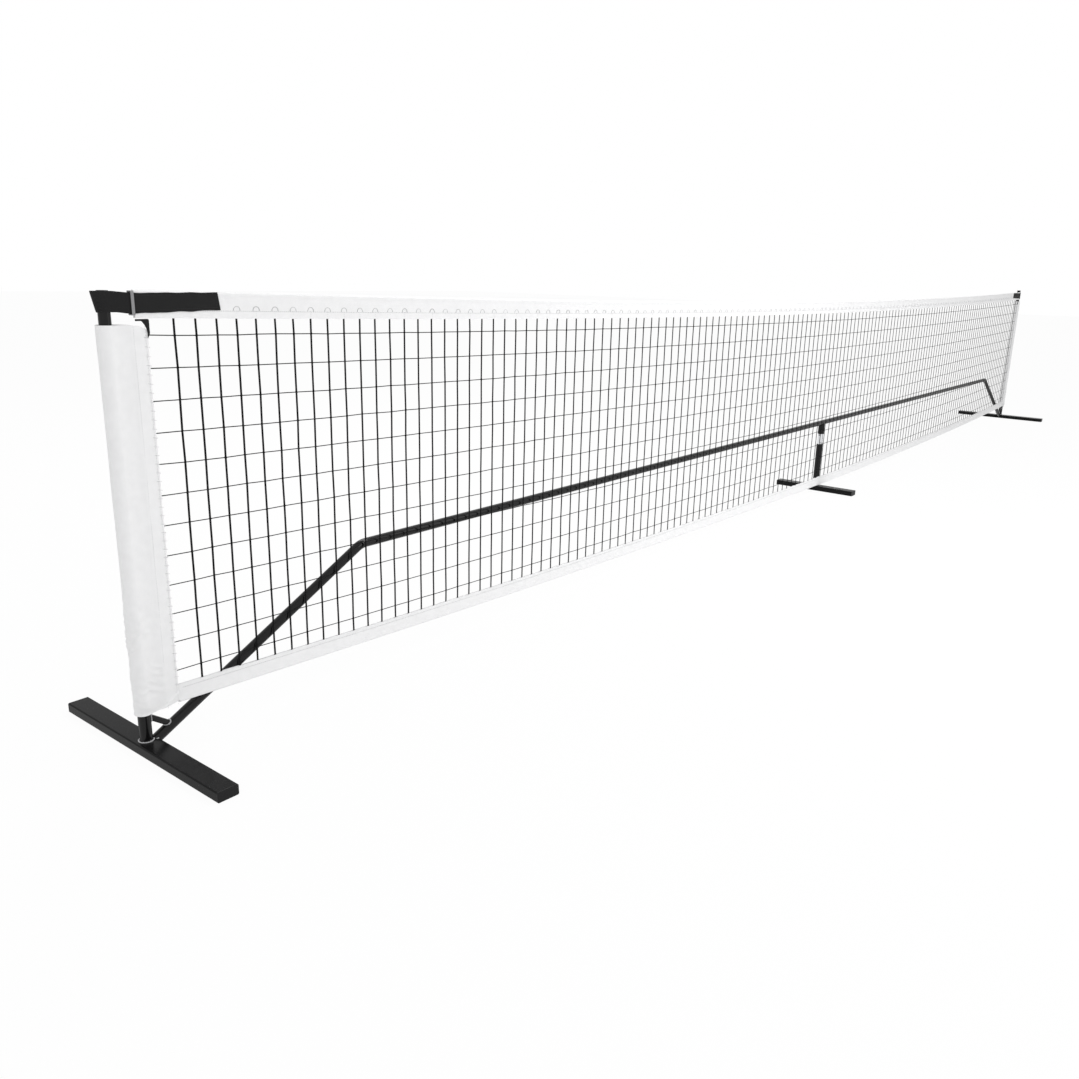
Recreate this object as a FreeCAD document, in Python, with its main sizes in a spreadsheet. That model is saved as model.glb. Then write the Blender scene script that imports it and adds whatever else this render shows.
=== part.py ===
"""Portable pickleball net: a tube frame that takes apart, with a strapped and sleeved net.

Frame: millimetres, X along the net, Y across it with the net's face at -Y, Z up.
The origin is on the floor, midway between the two posts.
The left half of the frame is drawn and the right half is its mirror image.
"""
import FreeCAD, Part
import Sketcher
import math
import os
import re

V = FreeCAD.Vector
X_AXIS, Y_AXIS, Z_AXIS = V(1, 0, 0), V(0, 1, 0), V(0, 0, 1)

doc = FreeCAD.newDocument("portable_net")

# ---------------------------------------------------------------- sizes

SIZES = {
    "post_span": 6730.0,         # between the axes of the two posts
    "post_top": 911.0,           # top of the post caps above the floor
    "post_dia": 22.2,
    "post_wall": 1.2,
    "socket_dia": 25.4,          # welded socket that the post stands in
    "socket_height": 88.0,
    "socket_floor": 4.0,
    "cap_head": 3.0,             # head of the post cap
    "cap_plug": 18.0,
    "foot_length": 570.0,
    "foot_width": 46.0,
    "foot_height": 22.0,
    "foot_wall": 1.5,
    "foot_corner": 3.0,
    "end_cap_head": 2.5,
    "end_cap_plug": 15.0,
    "centre_foot_length": 370.0,
    "tube_dia": 22.2,            # stay and rail tubes
    "tube_wall": 1.3,
    "rail_height": 318.0,
    "bend_reach": 580.0,         # post axis to the bend
    "bend_radius": 60.0,
    "stay_root": 29.0,           # post axis to where the stay's axis meets the foot's top
    "stub_reach": 89.0,          # post axis to the end of the welded stay stub
    "brace_dia": 12.5,
    "brace_height": 78.0,        # where the brace's axis meets the post's axis
    "brace_tilt": 35.0,          # degrees that the brace dips towards the stay
    "weld_size": 4.0,            # leg of each weld's fillet
    "bend_end": 2250.0,          # centre to the free end of the bent tube
    "rail_split": 1150.0,        # centre to the splice of the two straight rails
    "spigot_length": 40.0,
    "tee_half": 50.0,
    "tee_drop": 52.0,            # rail axis down to the mouth of the tee's branch
    "leg_dia": 28.0,
    "leg_wall": 1.5,
    "leg_gap": 48.0,             # bright spigot left showing between tee and leg
    "leg_lap": 60.0,             # how far the spigot runs down inside the leg
    "button_dia": 8.0,
    "button_flange_dia": 10.0,
    "button_flange": 1.1,
    "button_crown": 1.5,
    "button_travel": 5.0,        # takes the crown flush with the inner tube's outside
    "spring_strip": 0.8,
    "spring_width": 7.0,
    "spring_length": 26.0,
    "fit_gap": 0.3,              # between a tube and what slides in it
    "sew_gap": 0.3,              # between cloth layers and their neighbours
    "net_plane": 17.0,           # net's middle plane in front of the post axes
    "net_thick": 2.0,
    "strand": 3.0,
    "seam_depth": 12.0,          # net edge caught inside each band
    "net_top_left": 914.0,
    "net_top_middle": 864.0,
    "net_top_right": 900.0,
    "net_foot_end": 91.0,        # lower edge of the bottom band at the posts
    "net_foot_middle": 27.0,
    "band_thick": 5.0,
    "headband_width": 51.0,
    "bottom_band_width": 40.0,
    "headband_end": 47.0,        # post axis to the headband's end
    "sleeve_edge": 69.0,         # post axis to the sleeve's sewn edge
    "sleeve_drop": 64.0,         # headband top down to the sleeve's top
    "sleeve_hang": 8.0,          # how far the sleeve reaches below the bottom band's end
    "sleeve_bore": 31.0,
    "sleeve_wall": 1.5,
    "sleeve_fold": 40.0,         # post axis to where the sleeve's two layers close
    "sleeve_dip": 3.0,           # hollow of the long fold down the sleeve's face
    "sleeve_puff": 7.0,          # fullness of the sleeve's back
    "flap_thick": 4.0,
    "strap_width": 40.0,
    "strap_thick": 2.0,
    "strap_drop": 5.0,           # headband top down to the strap's top
    "strap_reach": 222.0,        # post axis to the strap's sewn end
    "slide_bar": 6.0,
    "slide_wire": 1.6,
    "slide_corner": 1.4,
    "tab_thick": 2.0,
    "tab_width": 6.5,
    "tab_reach": 36.0,
    "tab_drop": 34.0,
}
COLUMNS = 60                     # gaps along the net
ROWS = 5                         # gaps up the net

sheet = doc.addObject("Spreadsheet::Sheet", "Sizes")
for row, (alias, number) in enumerate(SIZES.items(), start=1):
    sheet.set("A%d" % row, alias.replace("_", " "))
    sheet.set("B%d" % row, "%g" % number)
    sheet.setAlias("B%d" % row, alias)
doc.recompute()


def bound(formula):
    """The formula with each size's name turned into its cell on the sheet."""
    word = r"[a-z][a-z_0-9]*"
    return re.sub(word, lambda m: "Sizes." + m[0] if m[0] in SIZES else m[0], formula)


def value(formula):
    """What a formula of the sheet's sizes comes to, as a plain number."""
    result = sheet.evalExpression(bound(formula))
    return float(getattr(result, "Value", result))


# ---------------------------------------------------------------- formulas used by several pieces

POST_X = "(post_span / 2)"
STAY_RISE = "(rail_height - foot_height)"
STAY_RUN = "(bend_reach - stay_root)"
STAY_SLOPE = "(atan2(%s; %s))" % (STAY_RISE, STAY_RUN)
STUB_END_Z = "(foot_height + (stub_reach - stay_root) * %s / %s)" % (STAY_RISE, STAY_RUN)
TUBE_R = "(tube_dia / 2)"
BORE_R = "(tube_dia / 2 - tube_wall)"
SPIGOT_R = "(tube_dia / 2 - tube_wall - fit_gap)"
SPIGOT_BORE_R = "(tube_dia / 2 - 2 * tube_wall - fit_gap)"
HOLE_R = "(button_dia / 2 + fit_gap)"
LEG_BORE_R = "(leg_dia / 2 - leg_wall)"
LEG_SPIGOT_R = "(leg_dia / 2 - leg_wall - fit_gap)"
LEG_SPIGOT_BORE_R = "(leg_dia / 2 - 2 * leg_wall - fit_gap)"
LEG_TOP_Z = "(rail_height - tee_drop - leg_gap)"
STAY_BUTTON = ("-%s + stub_reach - spigot_length / 2 * cos(%s)" % (POST_X, STAY_SLOPE), "0",
               "%s - spigot_length / 2 * sin(%s)" % (STUB_END_Z, STAY_SLOPE))
LEG_BUTTON_Z = "(rail_height - tee_drop - button_dia / 2 - fit_gap)"


# ---------------------------------------------------------------- drawing helpers

def bind(thing, **formulas):
    """Ties properties of an object to formulas; a double underscore stands for a dot."""
    for name, formula in formulas.items():
        thing.setExpression(name.replace("__", "."), bound(formula))
    return thing


def put(thing, at=("0", "0", "0"), axis=None, angle="0"):
    """Places an object by formulas: a point and, where it is turned, an axis and an angle."""
    if axis is not None:
        thing.Placement = FreeCAD.Placement(V(0, 0, 0), FreeCAD.Rotation(axis, value(angle)))
        thing.setExpression("Placement.Rotation.Angle", bound(angle))
    for letter, formula in zip("xyz", at):
        thing.setExpression("Placement.Base." + letter, bound(formula))
    return thing


def new_body(name):
    body = doc.addObject("PartDesign::Body", name)
    body.Label = name
    return body


def new_sketch(body, role, offset=None):
    """An empty sketch on one of the body's own planes, moved along the plane's normal."""
    sketch = body.newObject("Sketcher::SketchObject", body.Name + "_sketch")
    plane = [f for f in body.Origin.OriginFeatures if f.Role == role][0]
    sketch.AttachmentSupport = [(plane, "")]
    sketch.MapMode = "FlatFace"
    if offset is not None:
        sketch.AttachmentOffset = FreeCAD.Placement(V(0, 0, value(offset)), FreeCAD.Rotation())
        sketch.setExpression("AttachmentOffset.Base.z", bound(offset))
    return sketch


def pin_point(sketch, geometry, end, x, y):
    """Fixes one point of a sketch by two dimensions that follow the sheet."""
    for kind, formula in (("DistanceX", x), ("DistanceY", y)):
        dimension = Sketcher.Constraint(kind, -1, 1, geometry, end, value(formula))
        index = sketch.addConstraint(dimension)
        sketch.setExpression("Constraints[%d]" % index, bound(formula))


def draw_outline(sketch, corners, closed=True):
    """Straight sides and arcs through corners; (x, y, mid_x, mid_y) ends an arc through its middle."""
    points = [V(value(c[0]), value(c[1]), 0) for c in corners]
    first = sketch.GeometryCount
    count = len(corners) if closed else len(corners) - 1
    for i in range(count):
        j = (i + 1) % len(corners)
        if len(corners[j]) == 4:
            middle = V(value(corners[j][2]), value(corners[j][3]), 0)
            sketch.addGeometry(Part.Arc(points[i], middle, points[j]), False)
        else:
            sketch.addGeometry(Part.LineSegment(points[i], points[j]), False)
    for i in range(count):
        if closed or i + 1 < count:
            ends = near_ends(sketch, first + i, first + (i + 1) % count)
            sketch.addConstraint(Sketcher.Constraint("Coincident", first + i, ends[0],
                                                     first + (i + 1) % count, ends[1]))
    for i in range(count):
        end = near_point(sketch, first + i, points[i])
        pin_point(sketch, first + i, end, corners[i][0], corners[i][1])
    return sketch


def near_point(sketch, geometry, point):
    """Which end of a piece of geometry, 1 or 2, lies at the point."""
    gaps = [(sketch.getPoint(geometry, end) - point).Length for end in (1, 2)]
    return 1 if gaps[0] < gaps[1] else 2


def near_ends(sketch, one, other):
    """The ends at which two pieces of geometry meet."""
    pairs = [(a, b) for a in (1, 2) for b in (1, 2)]
    return min(pairs, key=lambda p: (sketch.getPoint(one, p[0]) - sketch.getPoint(other, p[1])).Length)


def draw_circle(sketch, radius, x="0", y="0"):
    """A circle whose centre and radius follow the sheet."""
    centre = V(value(x), value(y), 0)
    index = sketch.addGeometry(Part.Circle(centre, V(0, 0, 1), value(radius)), False)
    pin_point(sketch, index, 3, x, y)
    size = sketch.addConstraint(Sketcher.Constraint("Radius", index, value(radius)))
    sketch.setExpression("Constraints[%d]" % size, bound(radius))


def axis_of(body, role):
    return [f for f in body.Origin.OriginFeatures if f.Role == role][0]


def turned(name, corners, axis="Z_Axis"):
    """A body turned about its own Z or X axis from corners given as (radius, height along it)."""
    body = new_body(name)
    sketch = new_sketch(body, "XZ_Plane")
    if axis == "X_Axis":
        corners = [(height, radius) for radius, height in corners]
    draw_outline(sketch, corners)
    turn = body.newObject("PartDesign::Revolution", name + "_turn")
    turn.Profile = sketch
    turn.ReferenceAxis = (axis_of(body, axis), [""])
    turn.Angle = 360.0
    doc.recompute()
    return body


def tube_corners(outer, inner, low, high):
    return [(inner, low), (outer, low), (outer, high), (inner, high)]


def drill(body, across, up, radius=HOLE_R, role="XZ_Plane", back=False):
    """A round hole through one wall of a tube, square to a plane through its axis."""
    before = body.Shape.Volume
    sketch = new_sketch(body, role)
    draw_circle(sketch, radius, across, up)
    hole = body.newObject("PartDesign::Pocket", body.Name + "_hole")
    hole.Profile = sketch
    hole.Type = "Length"
    hole.setExpression("Length", bound("tube_dia"))
    hole.Reversed = back
    doc.recompute()
    if body.Shape.Volume > before - 1.0:
        raise RuntimeError(body.Name + ": the hole cuts nothing")
    return body


def cylinder(name, radius, height, at, axis=None, angle="0"):
    part = doc.addObject("Part::Cylinder", name)
    bind(part, Radius=radius, Height=height)
    return put(part, at, axis, angle)


def box(name, sides, corner):
    part = doc.addObject("Part::Box", name)
    bind(part, Length=sides[0], Width=sides[1], Height=sides[2])
    return put(part, corner)


def cut(name, base, tools):
    """The base less its tools."""
    result = base
    for number, tool in enumerate(tools, start=1):
        last = number == len(tools)
        step = doc.addObject("Part::Cut", name if last else "%s_cut_%d" % (name, number))
        step.Base = result
        step.Tool = tool
        result = step
    result.Label = name
    return result


def group(name, members):
    """Separate solids under one name."""
    compound = doc.addObject("Part::Compound", name)
    compound.Links = members
    compound.Label = name
    return compound


def mirrored(name, source):
    """The right-hand twin of a left-hand piece."""
    twin = doc.addObject("Part::Mirroring", name)
    twin.Source = source
    twin.Normal = X_AXIS
    twin.Label = name
    return twin


def cloth(name, shape):
    """A piece drawn straight from Part's own faces, in place."""
    piece = doc.addObject("Part::Feature", name)
    piece.Label = name
    piece.Shape = shape
    piece.Placement = shape.Placement
    return piece


nodes = []                       # every sub-part, in the order that it is built


# ---------------------------------------------------------------- feet and their end caps

def foot_tube(name, length, at_x):
    """A rectangular tube along Y with rounded corners."""
    body = new_body(name)
    sketch = new_sketch(body, "XZ_Plane")
    half = "foot_width / 2"
    for inset in ("0", "foot_wall"):
        draw_outline(sketch, [("-(%s - %s)" % (half, inset), inset),
                              ("%s - %s" % (half, inset), inset),
                              ("%s - %s" % (half, inset), "foot_height - " + inset),
                              ("-(%s - %s)" % (half, inset), "foot_height - " + inset)])
    pad = body.newObject("PartDesign::Pad", name + "_pad")
    pad.Profile = sketch
    pad.SideType = "Symmetric"
    pad.setExpression("Length", bound("%s - 2 * end_cap_head" % length))
    doc.recompute()
    edges = []
    for number, edge in enumerate(pad.Shape.Edges, start=1):
        along_y = abs(edge.tangentAt(edge.FirstParameter).y) > 0.9
        outside = abs(abs(edge.CenterOfMass.x) - value(half)) < 0.01
        if along_y and outside:
            edges.append("Edge%d" % number)
    fillet = body.newObject("PartDesign::Fillet", name + "_corners")
    fillet.Base = (pad, edges)
    fillet.setExpression("Radius", bound("foot_corner"))
    put(body, (at_x, "0", "0"))
    doc.recompute()
    return body


def end_cap(name, length, at_x, side):
    """A moulded plug: a head as large as the tube's section and a plug that fits its bore."""
    head = box(name + "_head", ("foot_width", "end_cap_head", "foot_height"),
               ("%s - foot_width / 2" % at_x, "%s * (%s / 2 - end_cap_head / 2) - end_cap_head / 2"
                % (side, length), "0"))
    doc.recompute()
    rounded = doc.addObject("Part::Fillet", name + "_rounded")
    rounded.Base = head
    corner = value("foot_corner")
    rounded.Edges = [(i, corner, corner) for i, e in enumerate(head.Shape.Edges, start=1)
                     if abs(e.tangentAt(e.FirstParameter).y) > 0.9]
    plug = box(name + "_plug", ("foot_width - 2 * (foot_wall + fit_gap)", "end_cap_plug",
                                "foot_height - 2 * (foot_wall + fit_gap)"),
               ("%s - foot_width / 2 + foot_wall + fit_gap" % at_x,
                "%s * (%s / 2 - end_cap_head - end_cap_plug / 2) - end_cap_plug / 2" % (side, length),
                "foot_wall + fit_gap"))
    whole = doc.addObject("Part::Fuse", name + "_whole")
    whole.Base = rounded
    whole.Tool = plug
    return whole


def build_feet():
    left_x = "-" + POST_X
    left = foot_tube("left_foot_tube", "foot_length", left_x)
    left_caps = group("left_foot_caps", [end_cap("left_cap_%s" % tag, "foot_length", left_x, side)
                                         for tag, side in (("front", "-1"), ("rear", "1"))])
    centre = foot_tube("centre_foot_tube", "centre_foot_length", "0")
    centre_caps = group("centre_foot_caps", [end_cap("centre_cap_%s" % tag, "centre_foot_length", "0", side)
                                             for tag, side in (("front", "-1"), ("rear", "1"))])
    nodes.extend([left, left_caps, centre, centre_caps])
    nodes.append(mirrored("right_foot_tube", left))
    nodes.append(mirrored("right_foot_caps", left_caps))


# ---------------------------------------------------------------- welded base and posts

def stay_cylinder(name, radius, start, length):
    """A cylinder along the left stay's axis, from a point measured up the stay from its root."""
    return cylinder(name, radius, length,
                    ("-%s + stay_root + (%s) * cos(%s)" % (POST_X, start, STAY_SLOPE), "0",
                     "foot_height + (%s) * sin(%s)" % (start, STAY_SLOPE)),
                    Y_AXIS, "90 deg - %s" % STAY_SLOPE)


def build_base():
    socket = turned("left_post_socket", [
        ("0", "0"), ("socket_dia / 2 + weld_size", "0"), ("socket_dia / 2", "weld_size"),
        ("socket_dia / 2", "socket_height"),
        ("post_dia / 2 + fit_gap", "socket_height"), ("post_dia / 2 + fit_gap", "socket_floor"),
        ("0", "socket_floor")])
    put(socket, ("-" + POST_X, "0", "foot_height"))

    root_back = "-stay_root / cos(%s)" % STAY_SLOPE
    stub_length = "stub_reach / cos(%s)" % STAY_SLOPE
    stub_rod = stay_cylinder("stay_rod", TUBE_R, root_back, stub_length)
    stub_bore = stay_cylinder("stay_bore", BORE_R, root_back, stub_length)
    foot_space = box("foot_space", ("foot_width", "foot_width * 2", "2 * foot_height"),
                     ("-%s - foot_width / 2" % POST_X, "-foot_width", "-foot_height"))
    socket_space = cylinder("socket_space", "socket_dia / 2", "socket_height",
                            ("-" + POST_X, "0", "foot_height"))
    button_space = cylinder("stay_button_space", HOLE_R, "tube_dia", STAY_BUTTON, X_AXIS, "-90")
    weld_space = doc.addObject("Part::Cone", "weld_space")
    bind(weld_space, Radius1="socket_dia / 2 + weld_size", Radius2="socket_dia / 2", Height="weld_size")
    put(weld_space, ("-" + POST_X, "0", "foot_height"))
    stub = cut("left_stay_stub", stub_rod, [stub_bore, foot_space, socket_space, weld_space, button_space])

    tilt = "brace_tilt * 1 deg"
    brace_run = "(brace_height - foot_height + stay_root * tan(%s)) / (tan(%s) + tan(%s))" % (
        STAY_SLOPE, STAY_SLOPE, tilt)
    brace_rod = cylinder("brace_rod", "brace_dia / 2", "%s / cos(%s)" % (brace_run, tilt),
                         ("-" + POST_X, "0", "brace_height"), Y_AXIS, "90 deg + " + tilt)
    stay_space = stay_cylinder("stay_space", TUBE_R, root_back, "bend_reach")
    brace = cut("left_base_brace", brace_rod, [socket_space, stay_space])

    for piece in (socket, stub, brace):
        nodes.append(piece)
        nodes.append(mirrored(piece.Label.replace("left", "right"), piece))


def build_posts():
    length = "post_top - cap_head - foot_height - socket_floor"
    outer = "post_dia / 2"
    inner = "post_dia / 2 - post_wall"
    post = turned("left_post", [
        (inner, "0"), (outer + " - post_wall / 2", "0"), (outer, "post_wall / 2"),
        (outer, length), (inner, length)])
    put(post, ("-" + POST_X, "0", "foot_height + socket_floor"))
    plug_r = inner + " - fit_gap"
    cap = turned("left_post_cap", [
        ("0", "-cap_plug"), (plug_r, "-cap_plug"), (plug_r, "0"),
        (outer, "0"), (outer, "cap_head / 2"), (outer + " - cap_head / 2", "cap_head"), ("0", "cap_head")])
    put(cap, ("-" + POST_X, "0", "post_top - cap_head"))
    for piece in (post, cap):
        nodes.append(piece)
        nodes.append(mirrored(piece.Label.replace("left", "right"), piece))


# ---------------------------------------------------------------- rail tubes

def swaged(length):
    """Corners of a tube along its own axis: reduced end below zero, shoulder at zero, plain end."""
    return [(SPIGOT_BORE_R, "-spigot_length"), (SPIGOT_R, "-spigot_length"), (SPIGOT_R, "0"), (TUBE_R, "0"),
            (TUBE_R, length), (BORE_R, length), (BORE_R, "2 * tube_wall"), (SPIGOT_BORE_R, "0")]


def build_bend():
    """The tube that rises along the stay, bends level and runs towards the centre."""
    name = "left_bend_tube"
    tangent = "bend_radius * tan(%s / 2)" % STAY_SLOPE
    straight = "((bend_reach - stub_reach) / cos(%s) - %s)" % (STAY_SLOPE, tangent)
    level = "(%s - bend_reach - bend_end - %s)" % (POST_X, tangent)
    body = turned(name, swaged(straight), axis="X_Axis")
    ring = new_sketch(body, "YZ_Plane", straight)
    draw_circle(ring, TUBE_R)
    draw_circle(ring, BORE_R)
    path = new_sketch(body, "XZ_Plane")
    arc_x = "%s + bend_radius * sin(%s)" % (straight, STAY_SLOPE)
    arc_z = "-bend_radius + bend_radius * cos(%s)" % STAY_SLOPE
    mid_x = "%s + bend_radius * sin(%s / 2)" % (straight, STAY_SLOPE)
    mid_z = "-bend_radius + bend_radius * cos(%s / 2)" % STAY_SLOPE
    draw_outline(path, [(straight, "0"), (arc_x, arc_z, mid_x, mid_z),
                        ("%s + %s * cos(%s)" % (arc_x, level, STAY_SLOPE),
                         "%s - %s * sin(%s)" % (arc_z, level, STAY_SLOPE))], closed=False)
    doc.recompute()
    pipe = body.newObject("PartDesign::AdditivePipe", name + "_pipe")
    pipe.Profile = ring
    pipe.Spine = (path, [""])
    doc.recompute()
    drill(body, "-spigot_length / 2", "0")
    reach = "(%s - spigot_length / 2)" % level
    drill(body, "%s + %s * cos(%s)" % (arc_x, reach, STAY_SLOPE),
          "%s - %s * sin(%s)" % (arc_z, reach, STAY_SLOPE))
    put(body, ("-%s + stub_reach" % POST_X, "0", STUB_END_Z), Y_AXIS, "-%s" % STAY_SLOPE)
    return body


def straight_rail(name, start, end):
    """A straight tube along X from its shoulder to its plain end, both measured left of the centre."""
    length = "%s - %s" % (start, end)
    body = turned(name, swaged(length))
    drill(body, "0", "-spigot_length / 2")
    drill(body, "0", length + " - spigot_length / 2")
    put(body, ("-" + start, "0", "rail_height"), Y_AXIS, "90")
    return body


def build_rails():
    for piece in (build_bend(),
                  straight_rail("left_outer_rail", "bend_end", "rail_split"),
                  straight_rail("left_inner_rail", "rail_split", "tee_half")):
        nodes.append(piece)
        nodes.append(mirrored(piece.Label.replace("left", "right"), piece))


# ---------------------------------------------------------------- centre tee and leg

def build_centre():
    reach = "(tee_half + spigot_length)"
    tee = turned("centre_tee", [
        ("0", "-" + reach), (SPIGOT_R, "-" + reach), (SPIGOT_R, "-tee_half"), (TUBE_R, "-tee_half"),
        (TUBE_R, "tee_half"), (SPIGOT_R, "tee_half"), (SPIGOT_R, reach), ("0", reach)], axis="X_Axis")
    branch = new_sketch(tee, "XY_Plane", "-tee_drop")
    draw_circle(branch, "leg_dia / 2")
    pad = tee.newObject("PartDesign::Pad", "tee_branch")
    pad.Profile = branch
    pad.setExpression("Length", bound("tee_drop"))
    bore = new_sketch(tee, "YZ_Plane")
    draw_circle(bore, SPIGOT_BORE_R)
    through = tee.newObject("PartDesign::Pocket", "tee_bore")
    through.Profile = bore
    through.Type = "ThroughAll"
    through.SideType = "Two sides"
    through.Type2 = "ThroughAll"
    mouth = new_sketch(tee, "XY_Plane", "-tee_drop")
    draw_circle(mouth, LEG_BORE_R)
    socket = tee.newObject("PartDesign::Pocket", "tee_socket")
    socket.Profile = mouth
    socket.Type = "Length"
    socket.Reversed = True
    socket.setExpression("Length", bound("tee_drop - tube_dia / 2 - leg_wall"))
    doc.recompute()
    for side in ("-", ""):
        drill(tee, "%s(tee_half + spigot_length / 2)" % side, "0")
    put(tee, ("0", "0", "rail_height"))

    leg_top = LEG_TOP_Z + " - foot_height"
    leg = turned("centre_leg", [
        (LEG_BORE_R, "0"), ("leg_dia / 2 + weld_size", "0"), ("leg_dia / 2", "weld_size"),
        ("leg_dia / 2", leg_top), (LEG_BORE_R, leg_top)])
    put(leg, ("0", "0", "foot_height"))
    foot_of_spigot = "(%s - leg_lap)" % LEG_TOP_Z
    spigot = turned("leg_spigot", tube_corners(
        LEG_SPIGOT_R, LEG_SPIGOT_BORE_R, "0",
        "rail_height - tube_dia / 2 - leg_wall - fit_gap - " + foot_of_spigot))
    drill(spigot, "0", "%s - %s" % (LEG_BUTTON_Z, foot_of_spigot), role="YZ_Plane")
    put(spigot, ("0", "0", foot_of_spigot))
    nodes.extend([tee, leg, spigot])


# ---------------------------------------------------------------- snap buttons and their springs

def chord(bore, across):
    """How far from a tube's axis something flat of a given width clears its bore."""
    return "(sqrt(%s * %s - %s * %s / 4) - fit_gap)" % (bore, bore, across, across)


def snap_button(name, at, bore, outside, direction):
    """A domed button on a flange that bears on the tube's bore; it looks along +Y or -X."""
    seat = chord(bore, "button_flange_dia")
    top = outside + " + button_travel"
    button = turned(name, [
        ("0", seat + " - button_flange"), ("button_flange_dia / 2", seat + " - button_flange"),
        ("button_flange_dia / 2", seat), ("button_dia / 2", seat),
        ("button_dia / 2", top + " - button_crown"),
        ("button_dia / 2 - button_crown", top), ("0", top)])
    axis, angle = (X_AXIS, "-90") if direction == "rear" else (Y_AXIS, "-90")
    put(button, at, axis, angle)
    return button


def hairpin(name, at, bore, turns):
    """A strip bent double inside the tube: one leg on the bore, the other under the button's flange."""
    top = chord(bore, "button_flange_dia") + " - button_flange"
    low = chord(bore, "spring_width")
    middle = "(%s - %s) / 2" % (top, low)
    radius = "(%s + %s) / 2" % (top, low)
    start = "-button_flange_dia / 2"
    body = new_body(name)
    sketch = new_sketch(body, "XY_Plane")
    draw_outline(sketch, [
        (start, top), ("spring_length", top),
        ("spring_length", "-" + low, "spring_length + " + radius, middle),
        (start, "-" + low), (start, "-%s + spring_strip" % low),
        ("spring_length", "-%s + spring_strip" % low),
        ("spring_length", top + " - spring_strip", "spring_length + %s - spring_strip" % radius, middle),
        (start, top + " - spring_strip")])
    pad = body.newObject("PartDesign::Pad", name + "_strip")
    pad.Profile = sketch
    pad.SideType = "Symmetric"
    pad.setExpression("Length", bound("spring_width"))
    doc.recompute()
    body.Placement = turns
    for letter, formula in zip("xyz", at):
        body.setExpression("Placement.Base." + letter, bound(formula))
    return body


def build_buttons():
    upright = FreeCAD.Placement(V(0, 0, 0), FreeCAD.Rotation())
    along_stay = FreeCAD.Placement(V(0, 0, 0), FreeCAD.Rotation(Y_AXIS, -value(STAY_SLOPE)))
    down_leg = FreeCAD.Placement(V(0, 0, 0), FreeCAD.Rotation(V(0, 0, -1), V(-1, 0, 0), V(0, 1, 0), "XYZ"))
    left = [("stay", STAY_BUTTON, along_stay),
            ("bend", ("-bend_end - spigot_length / 2", "0", "rail_height"), upright),
            ("rail", ("-rail_split - spigot_length / 2", "0", "rail_height"), upright),
            ("tee", ("-tee_half - spigot_length / 2", "0", "rail_height"), upright)]
    for joint, at, turns in left:
        for piece in (snap_button("left_%s_button" % joint, at, SPIGOT_BORE_R, SPIGOT_R, "rear"),
                      hairpin("left_%s_spring" % joint, at, SPIGOT_BORE_R, turns)):
            nodes.append(piece)
            nodes.append(mirrored(piece.Label.replace("left", "right"), piece))
    at = ("0", "0", LEG_BUTTON_Z)
    nodes.append(snap_button("leg_button", at, LEG_SPIGOT_BORE_R, LEG_SPIGOT_R, "left"))
    nodes.append(hairpin("leg_spring", at, LEG_SPIGOT_BORE_R, down_leg))


# ---------------------------------------------------------------- net, bands, sleeves and straps

class Sag:
    """A hanging edge: the arc through its two ends and its lowest point in the middle."""

    def __init__(self, half, left, middle, right):
        self.half = half
        self.edge = Part.Arc(V(-half, 0, left), V(0, 0, middle), V(half, 0, right)).toShape()
        circle = self.edge.Curve
        self.centre = circle.Center
        self.radius = circle.Radius

    def height(self, x):
        return self.centre.z - math.sqrt(self.radius ** 2 - (x - self.centre.x) ** 2)

    def moved(self, half, rise):
        """The same arc cut to another half length and lifted."""
        return Sag(half, self.height(-half) + rise, self.height(0) + rise, self.height(half) + rise)


def strip(low, high):
    """The flat face between two hanging edges of equal length."""
    bottom, top = low.edge, high.edge
    ends = [Part.makeLine(V(side * low.half, 0, low.height(side * low.half)),
                          V(side * low.half, 0, high.height(side * low.half))) for side in (-1, 1)]
    return Part.Face(Part.Wire(Part.__sortEdges__([bottom, ends[1], top, ends[0]])))


def slab(face, thick, plane):
    """A flat face made a solid of the given thickness about a plane in front of the post axes."""
    solid = face.extrude(V(0, thick, 0))
    solid.translate(V(0, -plane - thick / 2, 0))
    return solid


def net_edges():
    """The headband's upper edge and the bottom band's lower edge, from post to post."""
    half = value(POST_X)
    top = Sag(half, value("net_top_left"), value("net_top_middle"), value("net_top_right"))
    foot = Sag(half, value("net_foot_end"), value("net_foot_middle"), value("net_foot_end"))
    return top, foot


def build_band(name, edge, width, half):
    """A doubled tape with the net's edge in its open side; a negative width stands up from the edge."""
    plane = value("net_plane")
    fold, mouth = edge.moved(half, 0), edge.moved(half, -width)
    depth = math.copysign(value("seam_depth + sew_gap"), width)
    deep = edge.moved(half, depth - width)
    low, high = (mouth, fold) if width > 0 else (fold, mouth)
    slot_low, slot_high = (mouth, deep) if width > 0 else (deep, mouth)
    slot = slab(strip(slot_low, slot_high), value("net_thick + 2 * sew_gap"), plane)
    nodes.append(cloth(name, slab(strip(low, high), value("band_thick"), plane).cut(slot)))


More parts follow.
